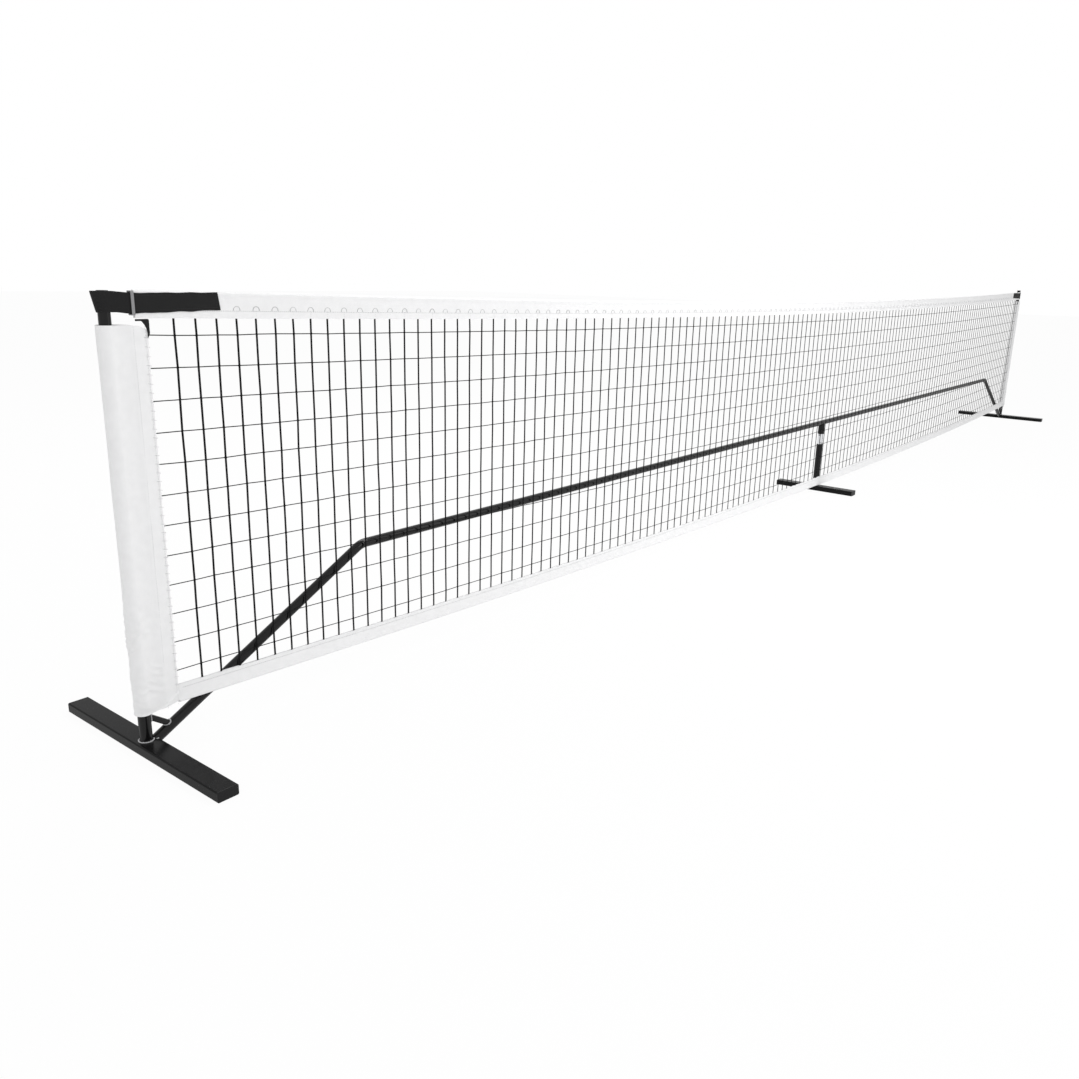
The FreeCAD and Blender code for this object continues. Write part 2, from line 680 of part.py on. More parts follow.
def build_net(top, foot):
    """One holed face: ROWS by COLUMNS gaps between the two bands and the two sleeves."""
    half = value("%s - sleeve_edge" % POST_X)
    caught = value("seam_depth")
    outer_half = half + caught
    roof = top.moved(outer_half, -value("headband_width"))
    floor = foot.moved(outer_half, value("bottom_band_width"))
    outline = strip(floor.moved(outer_half, -caught), roof.moved(outer_half, caught)).OuterWire
    strand = value("strand") / 2
    gaps = []
    for column in range(COLUMNS):
        left = -half + 2 * half * column / COLUMNS + strand
        right = -half + 2 * half * (column + 1) / COLUMNS - strand
        for row in range(ROWS):
            corners = []
            for x, share, inset in ((left, row, strand), (right, row, strand),
                                    (right, row + 1, -strand), (left, row + 1, -strand)):
                low, high = floor.height(x), roof.height(x)
                corners.append(V(x, 0, low + (high - low) * share / ROWS + inset))
            gaps.append(Part.makePolygon(corners + corners[:1]))
    face = Part.Face([outline] + gaps)
    face.validate()
    nodes.append(cloth("net", slab(face, value("net_thick"), value("net_plane"))))


def sleeve_face(post_x, side):
    """A sleeve seen from above: a loose loop round the post that closes into a flap towards the net."""
    radius = value("sleeve_bore / 2 + sleeve_wall")
    plane, flap = value("net_plane"), value("flap_thick")
    fold, edge = value("sleeve_fold"), value("sleeve_edge")
    front, back = V(fold, -plane - flap / 2, 0), V(fold, -plane + flap / 2, 0)
    near, far = V(0, -radius, 0), V(0, radius, 0)
    dip = (near + front) / 2 + V(0, value("sleeve_dip"), 0)
    puff = (far + back) / 2 + V(0, value("sleeve_puff"), 0)
    around = [Part.Arc(back, puff, far).toShape(), Part.Arc(far, V(-radius, 0, 0), near).toShape(),
              Part.Arc(near, dip, front).toShape()]
    corners = [front, V(edge, front.y, 0), V(edge, back.y, 0), back]
    flat = [Part.makeLine(a, b) for a, b in zip(corners, corners[1:])]
    room = Part.Wire(around + [Part.makeLine(front, back)]).makeOffset2D(-value("sleeve_wall"))
    face = Part.Face(Part.Wire(around + flat)).cut(Part.Face(room)).Faces[0]
    if side > 0:
        face = face.mirror(V(0, 0, 0), X_AXIS)
    face.translate(V(post_x, 0, 0))
    return face


def build_sleeve(name, side, top, foot):
    post_x = side * value(POST_X)
    low = foot.height(post_x) - value("sleeve_hang")
    high = top.height(post_x) - value("sleeve_drop")
    face = sleeve_face(post_x, side)
    face.translate(V(0, 0, low))
    solid = face.extrude(V(0, 0, high - low))
    thick = value("net_thick + 2 * sew_gap")
    deep = value("seam_depth + sew_gap")
    edge_x = post_x - side * value("sleeve_edge")
    corner = V(min(edge_x, edge_x + side * deep), -value("net_plane") - thick / 2, low - thick)
    slot = Part.makeBox(deep, thick, high - low + 2 * thick, corner)
    nodes.append(cloth(name, solid.cut(slot)))


def strap_line(radius, inset):
    """One surface of the strap from above: up one face, round the post and back along the other."""
    plane, layer = value("net_plane"), value("band_thick / 2 + sew_gap + strap_thick") - inset
    straight = value("headband_end - slide_bar - 4 * sew_gap")
    ends = []
    for y, way in ((-plane - layer, -1), (-plane + layer, 1)):
        turn = math.atan2(y, straight) + way * math.acos(radius / math.hypot(straight, y))
        leave = V(radius * math.cos(turn), radius * math.sin(turn), 0)
        ends.append([V(value("strap_reach"), y, 0), V(straight, y, 0), leave])
    front, back = ends
    around = Part.Arc(front[2], V(-radius, 0, 0), back[2]).toShape()
    sides = [Part.makeLine(a, b) for line in ends for a, b in zip(line, line[1:])]
    return sides + [around], front[0], back[0]


def build_strap(name, side, top):
    """Webbing folded round the post and sewn on both faces of the headband's end."""
    post_x = side * value(POST_X)
    radius = value("post_dia / 2 + fit_gap")
    thick = value("strap_thick")
    inside, front_in, back_in = strap_line(radius, thick)
    outside, front_out, back_out = strap_line(radius + thick, 0)
    edges = inside + outside + [Part.makeLine(front_in, front_out), Part.makeLine(back_in, back_out)]
    face = Part.Face(Part.Wire(Part.__sortEdges__(edges)))
    if side > 0:
        face = face.mirror(V(0, 0, 0), X_AXIS)
    strap_top = top.height(post_x) - value("strap_drop")
    face.translate(V(post_x, 0, strap_top - value("strap_width")))
    nodes.append(cloth(name, face.extrude(V(0, 0, value("strap_width")))))


def build_slide(name, side, top):
    """A flat wire loop that holds the strap's two layers together at the headband's end."""
    gap, wire, bar = value("sew_gap"), value("slide_wire"), value("slide_bar")
    deep = 2 * value("band_thick / 2 + 2 * sew_gap + strap_thick")
    tall = value("strap_width + 2 * sew_gap")
    plane = value("net_plane")
    post_x = side * value(POST_X)
    low = top.height(post_x) - value("strap_drop + strap_width") - gap
    x = post_x - side * value("headband_end - slide_bar / 2 - 2 * sew_gap") - bar / 2
    outside = Part.makeBox(bar, deep + 2 * wire, tall + 2 * wire, V(x, -plane - deep / 2 - wire, low - wire))
    ring = outside.cut(Part.makeBox(bar, deep, tall, V(x, -plane - deep / 2, low)))
    corners = []
    for edge in ring.Edges:
        middle = edge.CenterOfMass
        along_bar = abs(edge.tangentAt(edge.FirstParameter).x) > 0.9
        if along_bar and abs(abs(middle.y + plane) - deep / 2 - wire) < wire / 2:
            corners.append(edge)
    nodes.append(cloth(name, ring.makeFillet(value("slide_corner"), corners)))


def corner_tab(side, top):
    """Black binding under the headband's end that turns down along the net and runs to a point."""
    post_x = side * value(POST_X)
    gap, wide, drop = value("sew_gap"), value("tab_width"), value("tab_drop")
    edge = value("sleeve_edge + sew_gap")
    inner = edge + 2 * wide
    high = top.height(post_x - side * inner) - value("headband_width") - gap
    root = inner - value("tab_reach")
    point = V(edge + wide / 2, 0, high - drop)
    outline = [point, V(edge - wide / 2, 0, high - wide), V(root, 0, high - wide), V(root, 0, high),
               V(inner, 0, high)]
    sides = [Part.makeLine(a, b) for a, b in zip(outline, outline[1:])]
    sides.append(Part.Arc(outline[-1], V(inner - wide / 2, 0, high - drop / 2), point).toShape())
    face = Part.Face(Part.Wire(Part.__sortEdges__(sides)))
    if side > 0:
        face = face.mirror(V(0, 0, 0), X_AXIS)
    face.translate(V(post_x, 0, 0))
    thick = value("tab_thick")
    return slab(face, thick, value("net_plane + flap_thick / 2 + sew_gap + tab_thick / 2"))


def build_cloth():
    top, foot = net_edges()
    build_net(top, foot)
    build_band("headband", top, value("headband_width"), value("%s - headband_end" % POST_X))
    build_band("bottom_band", foot, -value("bottom_band_width"), value("%s - sleeve_edge - sew_gap" % POST_X))
    for hand, side in (("left", -1), ("right", 1)):
        build_sleeve(hand + "_sleeve", side, top, foot)
        build_strap(hand + "_strap", side, top)
        build_slide(hand + "_strap_slide", side, top)
    tabs = Part.makeCompound([corner_tab(side, top) for side in (-1, 1)])
    nodes.append(cloth("corner_tabs", tabs))


def export_all():
    doc.recompute()
    for thing in doc.Objects:
        if "Invalid" in thing.State or "Error" in thing.State:
            raise RuntimeError("%s failed: %s" % (thing.Name, thing.State))
    os.makedirs("parts", exist_ok=True)
    for piece in nodes:
        shape = piece.Shape
        if shape.isNull() or not shape.isValid():
            raise RuntimeError(piece.Label + " has no valid shape")
        shape.exportStep("parts/%s.step" % piece.Label)
        print("%-22s %3d solids  %9.1f cm3" % (piece.Label, len(shape.Solids), shape.Volume / 1000))


build_feet()
build_base()
build_posts()
build_rails()
build_centre()
build_buttons()
build_cloth()
export_all()
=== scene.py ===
"""Looks of a portable pickleball net: steel tube frame, knotted net, cloth bands, sleeves and straps.

Metres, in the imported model's own frame: X along the net, Y across it, Z up from the floor.
"""
import logging
import math
from dataclasses import dataclass, field
from enum import Enum
from typing import Any, Callable, Iterable, Sequence

import bmesh
import bpy
import numpy as np
from mathutils import Matrix, Vector, noise

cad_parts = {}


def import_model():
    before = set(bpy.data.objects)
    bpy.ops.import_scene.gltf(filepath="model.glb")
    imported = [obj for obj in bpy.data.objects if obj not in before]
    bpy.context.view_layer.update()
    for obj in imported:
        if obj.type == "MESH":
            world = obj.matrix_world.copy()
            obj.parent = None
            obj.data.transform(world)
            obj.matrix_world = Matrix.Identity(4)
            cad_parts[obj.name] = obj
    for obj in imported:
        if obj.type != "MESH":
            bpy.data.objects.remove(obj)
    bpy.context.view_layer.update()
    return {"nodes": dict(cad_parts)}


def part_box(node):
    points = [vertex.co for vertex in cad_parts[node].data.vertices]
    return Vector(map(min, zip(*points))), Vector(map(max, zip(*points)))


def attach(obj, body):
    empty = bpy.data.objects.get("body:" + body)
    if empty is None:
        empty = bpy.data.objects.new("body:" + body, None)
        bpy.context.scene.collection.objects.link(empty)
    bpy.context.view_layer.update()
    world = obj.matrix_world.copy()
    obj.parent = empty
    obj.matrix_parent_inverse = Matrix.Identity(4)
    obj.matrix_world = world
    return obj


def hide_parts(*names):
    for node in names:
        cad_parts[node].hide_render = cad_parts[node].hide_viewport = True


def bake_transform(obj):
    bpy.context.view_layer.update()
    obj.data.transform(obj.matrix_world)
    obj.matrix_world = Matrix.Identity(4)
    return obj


Piece, Material = bpy.types.Object, bpy.types.Material
Tree, Node, Socket = bpy.types.NodeTree, bpy.types.Node, bpy.types.NodeSocket
Sockets = bpy.types.bpy_prop_collection

LOG = logging.getLogger("portable_net")
IMAGE_SIDE = 1079
SENSOR = 36.0
ROOT = "frame"
FLOAT, WHOLE = "NodeSocketFloat", "NodeSocketInt"
GEOMETRY, STUFF = "NodeSocketGeometry", "NodeSocketMaterial"
SHARP_ANGLE = math.radians(40.0)
UPRIGHT = Vector((0.0, 0.0, 1.0))


class Side(Enum):
    """End of the net, as the sign of its X."""

    LEFT = -1
    RIGHT = 1

    @property
    def word(self) -> str:
        """The name that this side's pieces start with."""
        return self.name.lower()


class Fold(Enum):
    """Which way a band's folded edge points."""

    UP = 1
    DOWN = -1


def held(value: float) -> float:
    """A value held between nought and one."""
    return min(1.0, max(0.0, value))


def wobble(x: float, y: float, z: float) -> float:
    """Smooth noise at a place, from minus one to one."""
    return noise.noise(Vector((x, y, z)))


# ---------------------------------------------------------------- node trees


class Graph:
    """A short way to add and join nodes in one tree."""

    def __init__(self, tree: Tree) -> None:
        """Keeps the tree.

        Args:
            tree: The shader or geometry tree to add to.
        """
        self.tree = tree

    def add(self, kind: str, inputs: dict[Any, Any] | None = None, **settings: Any) -> Node:
        """Adds a node, sets it and feeds its inputs.

        Args:
            kind: The node's type name.
            inputs: For each input, its name or number, and a socket or a plain value.
            **settings: The node's own properties.

        Returns:
            The new node.
        """
        node = self.tree.nodes.new(kind)
        for key, setting in settings.items():
            setattr(node, key, setting)
        self.feed(node, inputs or {})
        return node

    def feed(self, node: Node, inputs: dict[Any, Any]) -> None:
        """Joins sockets to a node's inputs and sets plain values on them.

        Args:
            node: The node to feed.
            inputs: For each input, its name or number, and a socket or a plain value.
        """
        for key, source in inputs.items():
            if isinstance(source, Socket):
                self.tree.links.new(source, node.inputs[key])
            else:
                node.inputs[key].default_value = source

    def math(self, operation: str, *values: Any) -> Socket:
        """Adds one step of arithmetic and returns its result."""
        node = self.add("ShaderNodeMath", dict(enumerate(values)), operation=operation)
        return node.outputs[0]

    def group(self, tree: Tree, inputs: dict[str, Any]) -> Node:
        """Places a node group and feeds it."""
        kind = "ShaderNodeGroup" if self.tree.bl_idname == "ShaderNodeTree" else "GeometryNodeGroup"
        return self.add(kind, inputs, node_tree=tree)


def new_group(name: str, kind: str, inputs: dict[str, tuple[str, Any]],
              outputs: dict[str, str]) -> tuple[Tree, Graph, Node, Node]:
    """Starts a node group with named sockets.

    Args:
        name: The group's name.
        kind: "ShaderNodeTree" or "GeometryNodeTree".
        inputs: For each input, its socket type and its default, or None for no default.
        outputs: For each output, its socket type.

    Returns:
        The tree, its graph, its input node and its output node.
    """
    tree = bpy.data.node_groups.new(name, kind)
    for label, (socket_type, default) in inputs.items():
        socket = tree.interface.new_socket(name=label, in_out="INPUT", socket_type=socket_type)
        if default is not None:
            socket.default_value = default
    for label, socket_type in outputs.items():
        tree.interface.new_socket(name=label, in_out="OUTPUT", socket_type=socket_type)
    graph = Graph(tree)
    return tree, graph, graph.add("NodeGroupInput"), graph.add("NodeGroupOutput")


def grain_group() -> Tree:
    """Builds the group for a coat's or moulding's fine texture.

    Returns:
        The group, with inputs Scale and Spread and outputs Height and Tone.
    """
    tree, g, start, end = new_group("fine_grain", "ShaderNodeTree",
                                    {"Scale": (FLOAT, 900.0), "Spread": (FLOAT, 0.12)},
                                    {"Height": FLOAT, "Tone": FLOAT})
    place = g.add("ShaderNodeTexCoord").outputs["Object"]
    fine = g.add("ShaderNodeTexNoise", {"Vector": place, "Scale": start.outputs["Scale"], "Detail": 3.0})
    broad = g.add("ShaderNodeTexNoise", {"Vector": place, "Scale": 9.0, "Detail": 4.0})
    centred = g.math("SUBTRACT", broad.outputs["Fac"], 0.5)
    tone = g.math("ADD", g.math("MULTIPLY", centred, start.outputs["Spread"]), 1.0)
    g.feed(end, {"Height": fine.outputs["Fac"], "Tone": tone})
    return tree


def scuff_group() -> Tree:
    """Builds the group for scattered rubs and dust.

    Returns:
        The group, with inputs Scale and Amount and output Mask.
    """
    tree, g, start, end = new_group("scuffs", "ShaderNodeTree",
                                    {"Scale": (FLOAT, 40.0), "Amount": (FLOAT, 0.2)}, {"Mask": FLOAT})
    place = g.add("ShaderNodeTexCoord").outputs["Object"]
    streak = g.add("ShaderNodeMapping", {"Vector": place, "Scale": (1.0, 1.0, 3.0)}).outputs[0]
    spots = g.add("ShaderNodeTexNoise", {"Vector": streak, "Scale": start.outputs["Scale"], "Detail": 6.0,
                                         "Roughness": 0.7})
    ramp = g.add("ShaderNodeMapRange", {"Value": spots.outputs["Fac"], "From Min": 0.56, "From Max": 0.74})
    g.feed(end, {"Mask": g.math("MULTIPLY", ramp.outputs[0], start.outputs["Amount"])})
    return tree


def weave_group() -> Tree:
    """Builds the group for a plain weave seen on its front, round a post or along a band.

    Returns:
        The group, with inputs Along and Up (threads per metre) and outputs Height and Tone.
    """
    tree, g, start, end = new_group("weave", "ShaderNodeTree",
                                    {"Along": (FLOAT, 1600.0), "Up": (FLOAT, 1600.0)},
                                    {"Height": FLOAT, "Tone": FLOAT})
    place = g.add("ShaderNodeTexCoord").outputs["Object"]
    axes = g.add("ShaderNodeSeparateXYZ", {0: place})
    along = g.math("MULTIPLY", g.math("ADD", axes.outputs[0], axes.outputs[1]), start.outputs["Along"])
    up = g.math("MULTIPLY", axes.outputs[2], start.outputs["Up"])
    warp = g.math("SINE", g.math("MULTIPLY", along, math.pi))
    weft = g.math("SINE", g.math("MULTIPLY", up, math.pi))
    height = g.math("MULTIPLY_ADD", g.math("MULTIPLY", warp, weft), 0.5, 0.5)
    uneven = g.add("ShaderNodeTexNoise", {"Vector": place, "Scale": 60.0, "Detail": 5.0})
    tone = g.math("MULTIPLY_ADD", g.math("SUBTRACT", uneven.outputs["Fac"], 0.5), 0.1, 1.0)
    g.feed(end, {"Height": height, "Tone": tone})
    return tree


class Shelf:
    """The shader groups, each built once, that the finishes share."""

    def __init__(self) -> None:
        """Builds every shared group."""
        self.grain = grain_group()
        self.scuffs = scuff_group()
        self.weave = weave_group()


# ---------------------------------------------------------------- finishes


def blank_material(name: str) -> tuple[Material, Graph, Node]:
    """Starts a material with a Principled shader.

    Args:
        name: The material's name.

    Returns:
        The material, its graph and its Principled shader.
    """
    material = bpy.data.materials.new(name)
    material.use_nodes = True
    graph = Graph(material.node_tree)
    return material, graph, material.node_tree.nodes["Principled BSDF"]


def tinted(graph: Graph, colour: Sequence[float], tone: Socket) -> Socket:
    """Multiplies a colour by a tone that changes over the surface."""
    scaled = graph.add("ShaderNodeVectorMath", {0: colour, 1: tone}, operation="MULTIPLY")
    return scaled.outputs[0]


def mixed(graph: Graph, mask: Socket, first: Any, second: Any) -> Socket:
    """Blends two colours by a mask.

    Args:
        graph: The material's graph.
        mask: 0 where the first colour shows and 1 where the second does.
        first: A colour or a socket.
        second: A colour or a socket.

    Returns:
        The blended colour's socket.
    """
    a, b = (part if isinstance(part, Socket) else (*part, 1.0) for part in (first, second))
    return graph.add("ShaderNodeMix", {0: mask, 6: a, 7: b}, data_type="RGBA").outputs[2]


def raised(graph: Graph, shader: Node, height: Socket, depth: float,
           strength: float) -> None:
    """Feeds a height to the shader's normal through a bump.

    Args:
        graph: The material's graph.
        shader: The Principled shader.
        height: Height from 0 to 1.
        depth: The height's real size in metres.
        strength: How strongly it shows.
    """
    bump = graph.add("ShaderNodeBump", {"Height": height, "Distance": depth, "Strength": strength})
    graph.feed(shader, {"Normal": bump.outputs[0]})


@dataclass(frozen=True)
class Speckle:
    """How a hard finish is broken up: its fine grain, its worn spots and its relief."""

    grain: float
    spread: float
    spots: float
    amount: float
    dulling: float
    depth: float
    strength: float

    def make(self, shelf: Shelf, name: str, colour: Sequence[float], worn: Sequence[float],
             roughness: float, fixed: dict[str, float]) -> Material:
        """Builds a hard material from the shared groups.

        Args:
            shelf: The shared shader groups.
            name: The material's name.
            colour: Its colour.
            worn: Its colour where it is worn, dull or dusty.
            roughness: Its roughness where it isn't.
            fixed: Plain values set on the shader.

        Returns:
            The material.
        """
        material, g, shader = blank_material(name)
        fine = g.group(shelf.grain, {"Scale": self.grain, "Spread": self.spread})
        mask = g.group(shelf.scuffs, {"Scale": self.spots, "Amount": self.amount}).outputs["Mask"]
        base = tinted(g, colour, fine.outputs["Tone"])
        g.feed(shader, {"Base Color": mixed(g, mask, base, worn),
                        "Roughness": g.math("MULTIPLY_ADD", mask, self.dulling, roughness), **fixed})
        raised(g, shader, fine.outputs["Height"], self.depth, self.strength)
        return material


@dataclass(frozen=True)
class PowderCoat:
    """Baked powder paint on steel, with orange peel, a clear gloss and a few rubs."""

    name: str
    colour: tuple[float, float, float]
    rub: tuple[float, float, float]
    roughness: float
    coat: float
    coat_roughness: float = 0.12
    specular: float = 0.25
    peel: float = 420.0
    rub_amount: float = 0.25

    def make(self, shelf: Shelf) -> Material:
        """Builds the material from the shared groups."""
        look = Speckle(self.peel, 0.25, 30.0, self.rub_amount, 0.3, 0.00006, 0.35)
        return look.make(shelf, self.name, self.colour, self.rub, self.roughness, {
            "Specular IOR Level": self.specular, "Coat Weight": self.coat,
            "Coat Roughness": self.coat_roughness})


@dataclass(frozen=True)
class BareMetal:
    """Bright or plated steel, brushed or blasted, with dull spots."""

    name: str
    colour: tuple[float, float, float]
    dull: tuple[float, float, float]
    roughness: float
    grain: float = 1400.0

    def make(self, shelf: Shelf) -> Material:
        """Builds the material from the shared groups."""
        look = Speckle(self.grain, 0.3, 120.0, 0.5, 0.35, 0.00004, 0.25)
        return look.make(shelf, self.name, self.colour, self.dull, self.roughness, {"Metallic": 1.0})


@dataclass(frozen=True)
class MouldedPlastic:
    """Moulded black plastic with a fine spark texture and a dusty bloom."""

    name: str
    colour: tuple[float, float, float]
    dust: tuple[float, float, float]
    roughness: float = 0.45
    specular: float = 0.12

    def make(self, shelf: Shelf) -> Material:
        """Builds the material from the shared groups."""
        look = Speckle(1100.0, 0.2, 55.0, 0.35, 0.3, 0.0001, 0.5)
        return look.make(shelf, self.name, self.colour, self.dust, self.roughness,
                         {"Specular IOR Level": self.specular})


@dataclass(frozen=True)
class WovenCloth:
    """Woven tape, sleeve cloth or webbing: threads with painted shade between them, faint soiling and a soft
    sheen.
    """

    name: str
    colour: tuple[float, float, float]
    soil: tuple[float, float, float]
    along: float
    up: float
    depth: float
    roughness: float = 0.75
    sheen: float = 0.15
    thread_shade: float = 0.12
    specular: float = 0.3

    def make(self, shelf: Shelf) -> Material:
        """Builds the material from the shared groups."""
        material, g, shader = blank_material(self.name)
        weave = g.group(shelf.weave, {"Along": self.along, "Up": self.up})
        soil = g.group(shelf.scuffs, {"Scale": 7.0, "Amount": 0.3})
        # painted shade: the colour is darkened in the weave's hollows between threads, by thread_shade
        lit = g.math("MULTIPLY_ADD", weave.outputs["Height"], self.thread_shade, 1.0 - self.thread_shade)
        tone = g.math("MULTIPLY", weave.outputs["Tone"], lit)
        base = tinted(g, self.colour, tone)
        g.feed(shader, {"Base Color": mixed(g, soil.outputs["Mask"], base, self.soil),
                        "Roughness": self.roughness, "Specular IOR Level": self.specular,
                        "Sheen Weight": self.sheen, "Sheen Roughness": 0.5})
        raised(g, shader, weave.outputs["Height"], self.depth, 0.6)
        return material


@dataclass(frozen=True)
class Twine:
    """Twisted twine or sewing thread, its strands winding round it, with painted shade in the furrows between
    them.
    """

    name: str
    colour: tuple[float, float, float]
    furrow: tuple[float, float, float]
    twists: float
    roughness: float = 0.6
    specular: float = 0.1

    def make(self, shelf: Shelf) -> Material:
        """Builds the material from the shared groups."""
        material, g, shader = blank_material(self.name)
        grain = g.group(shelf.grain, {"Scale": 1500.0, "Spread": 0.3})
        place = g.add("ShaderNodeTexCoord").outputs["Object"]
        slant = g.add("ShaderNodeMapping", {"Vector": place, "Rotation": (0.0, math.radians(38.0), 0.0)})
        strands = g.add("ShaderNodeTexWave", {"Vector": slant.outputs[0], "Scale": self.twists,
                                              "Distortion": 0.6}, bands_direction="X")
        base = tinted(g, self.colour, grain.outputs["Tone"])
        # painted shade: the furrows between the twisted strands take the darker colour
        g.feed(shader, {"Base Color": mixed(g, strands.outputs["Fac"], self.furrow, base),
                        "Roughness": self.roughness, "Specular IOR Level": self.specular})
        raised(g, shader, strands.outputs["Fac"], 0.0003, 0.6)
        return material


class Palette:
    """Every finish of the net, made once and looked up by what it covers."""

    def __init__(self, shelf: Shelf) -> None:
        """Makes the materials.

        Args:
            shelf: The shared shader groups.
        """
        self.tube = PowderCoat("black_powder_coat", (0.004, 0.004, 0.0042), (0.012, 0.012, 0.0125), 0.3,
                               0.4, coat_roughness=0.08, specular=0.05).make(shelf)
        self.foot = PowderCoat("charcoal_powder_coat", (0.008, 0.008, 0.0082), (0.02, 0.02, 0.021), 0.22,
                               0.04, coat_roughness=0.2, specular=0.05).make(shelf)
        self.bright = BareMetal("bright_steel", (0.74, 0.75, 0.77), (0.42, 0.42, 0.43), 0.22).make(shelf)
        self.plated = BareMetal("plated_steel", (0.24, 0.24, 0.245), (0.15, 0.15, 0.15), 0.34).make(shelf)
        self.spring = BareMetal("spring_steel", (0.3, 0.3, 0.32), (0.18, 0.17, 0.16), 0.38).make(shelf)
        # painted highlight: the weld beads get a pale steel colour that stands in for the light grey
        # highlights on the coated welds
        self.weld = BareMetal("weld_steel", (0.42, 0.42, 0.43), (0.22, 0.22, 0.22), 0.45,
                              grain=700.0).make(shelf)
        self.plastic = MouldedPlastic("black_plastic", (0.012, 0.012, 0.0125),
                                      (0.04, 0.04, 0.039)).make(shelf)
        self.white = WovenCloth("white_cloth", (0.88, 0.88, 0.885), (0.78, 0.78, 0.78), 1500.0, 1500.0,
                                0.00012).make(shelf)
        self.webbing = WovenCloth("charcoal_webbing", (0.023, 0.023, 0.0234), (0.034, 0.034, 0.034), 900.0,
                                  520.0, 0.0004, sheen=0.02, thread_shade=0.5, specular=0.08).make(shelf)
        self.binding = WovenCloth("black_binding", (0.02, 0.02, 0.021), (0.04, 0.04, 0.04), 1300.0, 1300.0,
                                  0.0002, sheen=0.02, thread_shade=0.3, specular=0.08).make(shelf)
        # each twine's second colour is painted shade for the furrows of its twist
        self.net = Twine("black_net", (0.006, 0.006, 0.0065), (0.002, 0.002, 0.002), 260.0).make(shelf)
        self.thread = Twine("grey_thread", (0.5, 0.5, 0.51), (0.36, 0.36, 0.37), 900.0).make(shelf)
        self.pale_thread = Twine("pale_thread", (0.72, 0.72, 0.73), (0.5, 0.5, 0.51), 900.0).make(shelf)
        self.dark_thread = Twine("dark_thread", (0.05, 0.05, 0.05), (0.02, 0.02, 0.02), 900.0).make(shelf)

    def for_node(self, node: str) -> Material:
        """Picks the finish of a steel or plastic part of the frame by its name.

        Args:
            node: The part's name.

        Returns:
            Its material.
        """
        endings = {"foot_tube": self.foot, "_caps": self.plastic, "_cap": self.plastic,
                   "_button": self.plated, "_spring": self.spring, "_spigot": self.bright,
                   "_slide": self.plated}
        for ending, material in endings.items():
            if node.endswith(ending):
                return material
        return self.tube


# ---------------------------------------------------------------- meshes


def mesh_object(name: str, verts: Iterable[Sequence[float]], edges: Iterable[Sequence[int]],
                faces: Iterable[Sequence[int]]) -> Piece:
    """Makes a mesh object at the origin and links it to the scene."""
    mesh = bpy.data.meshes.new(name)
    mesh.from_pydata([tuple(v) for v in verts], list(edges), list(faces))
    made = bpy.data.objects.new(name, mesh)
    bpy.context.scene.collection.objects.link(made)
    return made


def finish_piece(piece: Piece, material: Material, body: str) -> None:
    """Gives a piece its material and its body.

    Args:
        piece: The finished object.
        material: The material of all its faces.
        body: The CAD body that it moves with.
    """
    piece.data.materials.clear()
    piece.data.materials.append(material)
    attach(piece, body)
    faces = len(piece.data.polygons)
    LOG.info("%s: %d faces on %s", piece.name, faces, body)


def soften(piece: Piece) -> None:
    """Shades a piece smooth apart from its sharp edges."""
    piece.data.shade_smooth()
    piece.data.set_sharp_from_angle(angle=SHARP_ANGLE)


def shell(name: str, outer: np.ndarray, inner: np.ndarray) -> Piece:
    """Closes two matching grids of points into one sheet with thickness.

    Args:
        name: The piece's name.
        outer: Points of the outer face, rows by columns by 3.
        inner: Points of the inner face, the same shape.

    Returns:
        The new object, its faces pointing outwards.
    """
    rows, columns = outer.shape[:2]
    size = rows * columns
    verts = np.concatenate([outer.reshape(-1, 3), inner.reshape(-1, 3)])
    index = np.arange(size).reshape(rows, columns)
    faces: list[tuple[int, ...]] = []
    for r in range(rows - 1):
        for c in range(columns - 1):
            a, b, d, e = index[r, c], index[r, c + 1], index[r + 1, c + 1], index[r + 1, c]
            faces.append((a, b, d, e))
            faces.append((size + e, size + d, size + b, size + a))
    rim = [*index[0], *index[1:, -1], *index[-1, -2::-1], *index[-2:0:-1, 0]]
    for a, b in zip(rim, rim[1:] + rim[:1]):
        faces.append((b, a, size + a, size + b))
    made = mesh_object(name, verts, [], [[int(i) for i in f] for f in faces])
    turned = bmesh.new()
    turned.from_mesh(made.data)
    bmesh.ops.recalc_face_normals(turned, faces=turned.faces)
    turned.to_mesh(made.data)
    turned.free()
    soften(made)
    return made


def arc_through(a: Sequence[float], b: Sequence[float], c: Sequence[float], steps: int) -> np.ndarray:
    """Points along the flat arc through three points.

    Args:
        a: Its start.
        b: A point on it.
        c: Its end.
        steps: How many points.

    Returns:
        The points, steps by 2.
    """
    (ax, ay), (bx, by), (cx, cy) = a, b, c
    double = 2 * (ax * (by - cy) + bx * (cy - ay) + cx * (ay - by))
    sa, sb, sc = ax * ax + ay * ay, bx * bx + by * by, cx * cx + cy * cy
    middle = np.array([(sa * (by - cy) + sb * (cy - ay) + sc * (ay - by)) / double,
                       (sa * (cx - bx) + sb * (ax - cx) + sc * (bx - ax)) / double])
    angles = [math.atan2(p[1] - middle[1], p[0] - middle[0]) for p in (a, b, c)]
    turn = math.tau if double > 0 else -math.tau
    while (angles[1] - angles[0]) * turn < 0:
        angles[1] += turn
    while (angles[2] - angles[1]) * turn < 0:
        angles[2] += turn
    radius = math.hypot(ax - middle[0], ay - middle[1])
    spread = np.linspace(angles[0], angles[2], steps)
    return np.stack([middle[0] + radius * np.cos(spread), middle[1] + radius * np.sin(spread)], axis=1)


def beside(path: np.ndarray, distance: float) -> np.ndarray:
    """A flat path moved sideways to its left by a distance."""
    ahead = np.gradient(path, axis=0)
    ahead /= np.linalg.norm(ahead, axis=1, keepdims=True)
    return path + distance * np.stack([-ahead[:, 1], ahead[:, 0]], axis=1)


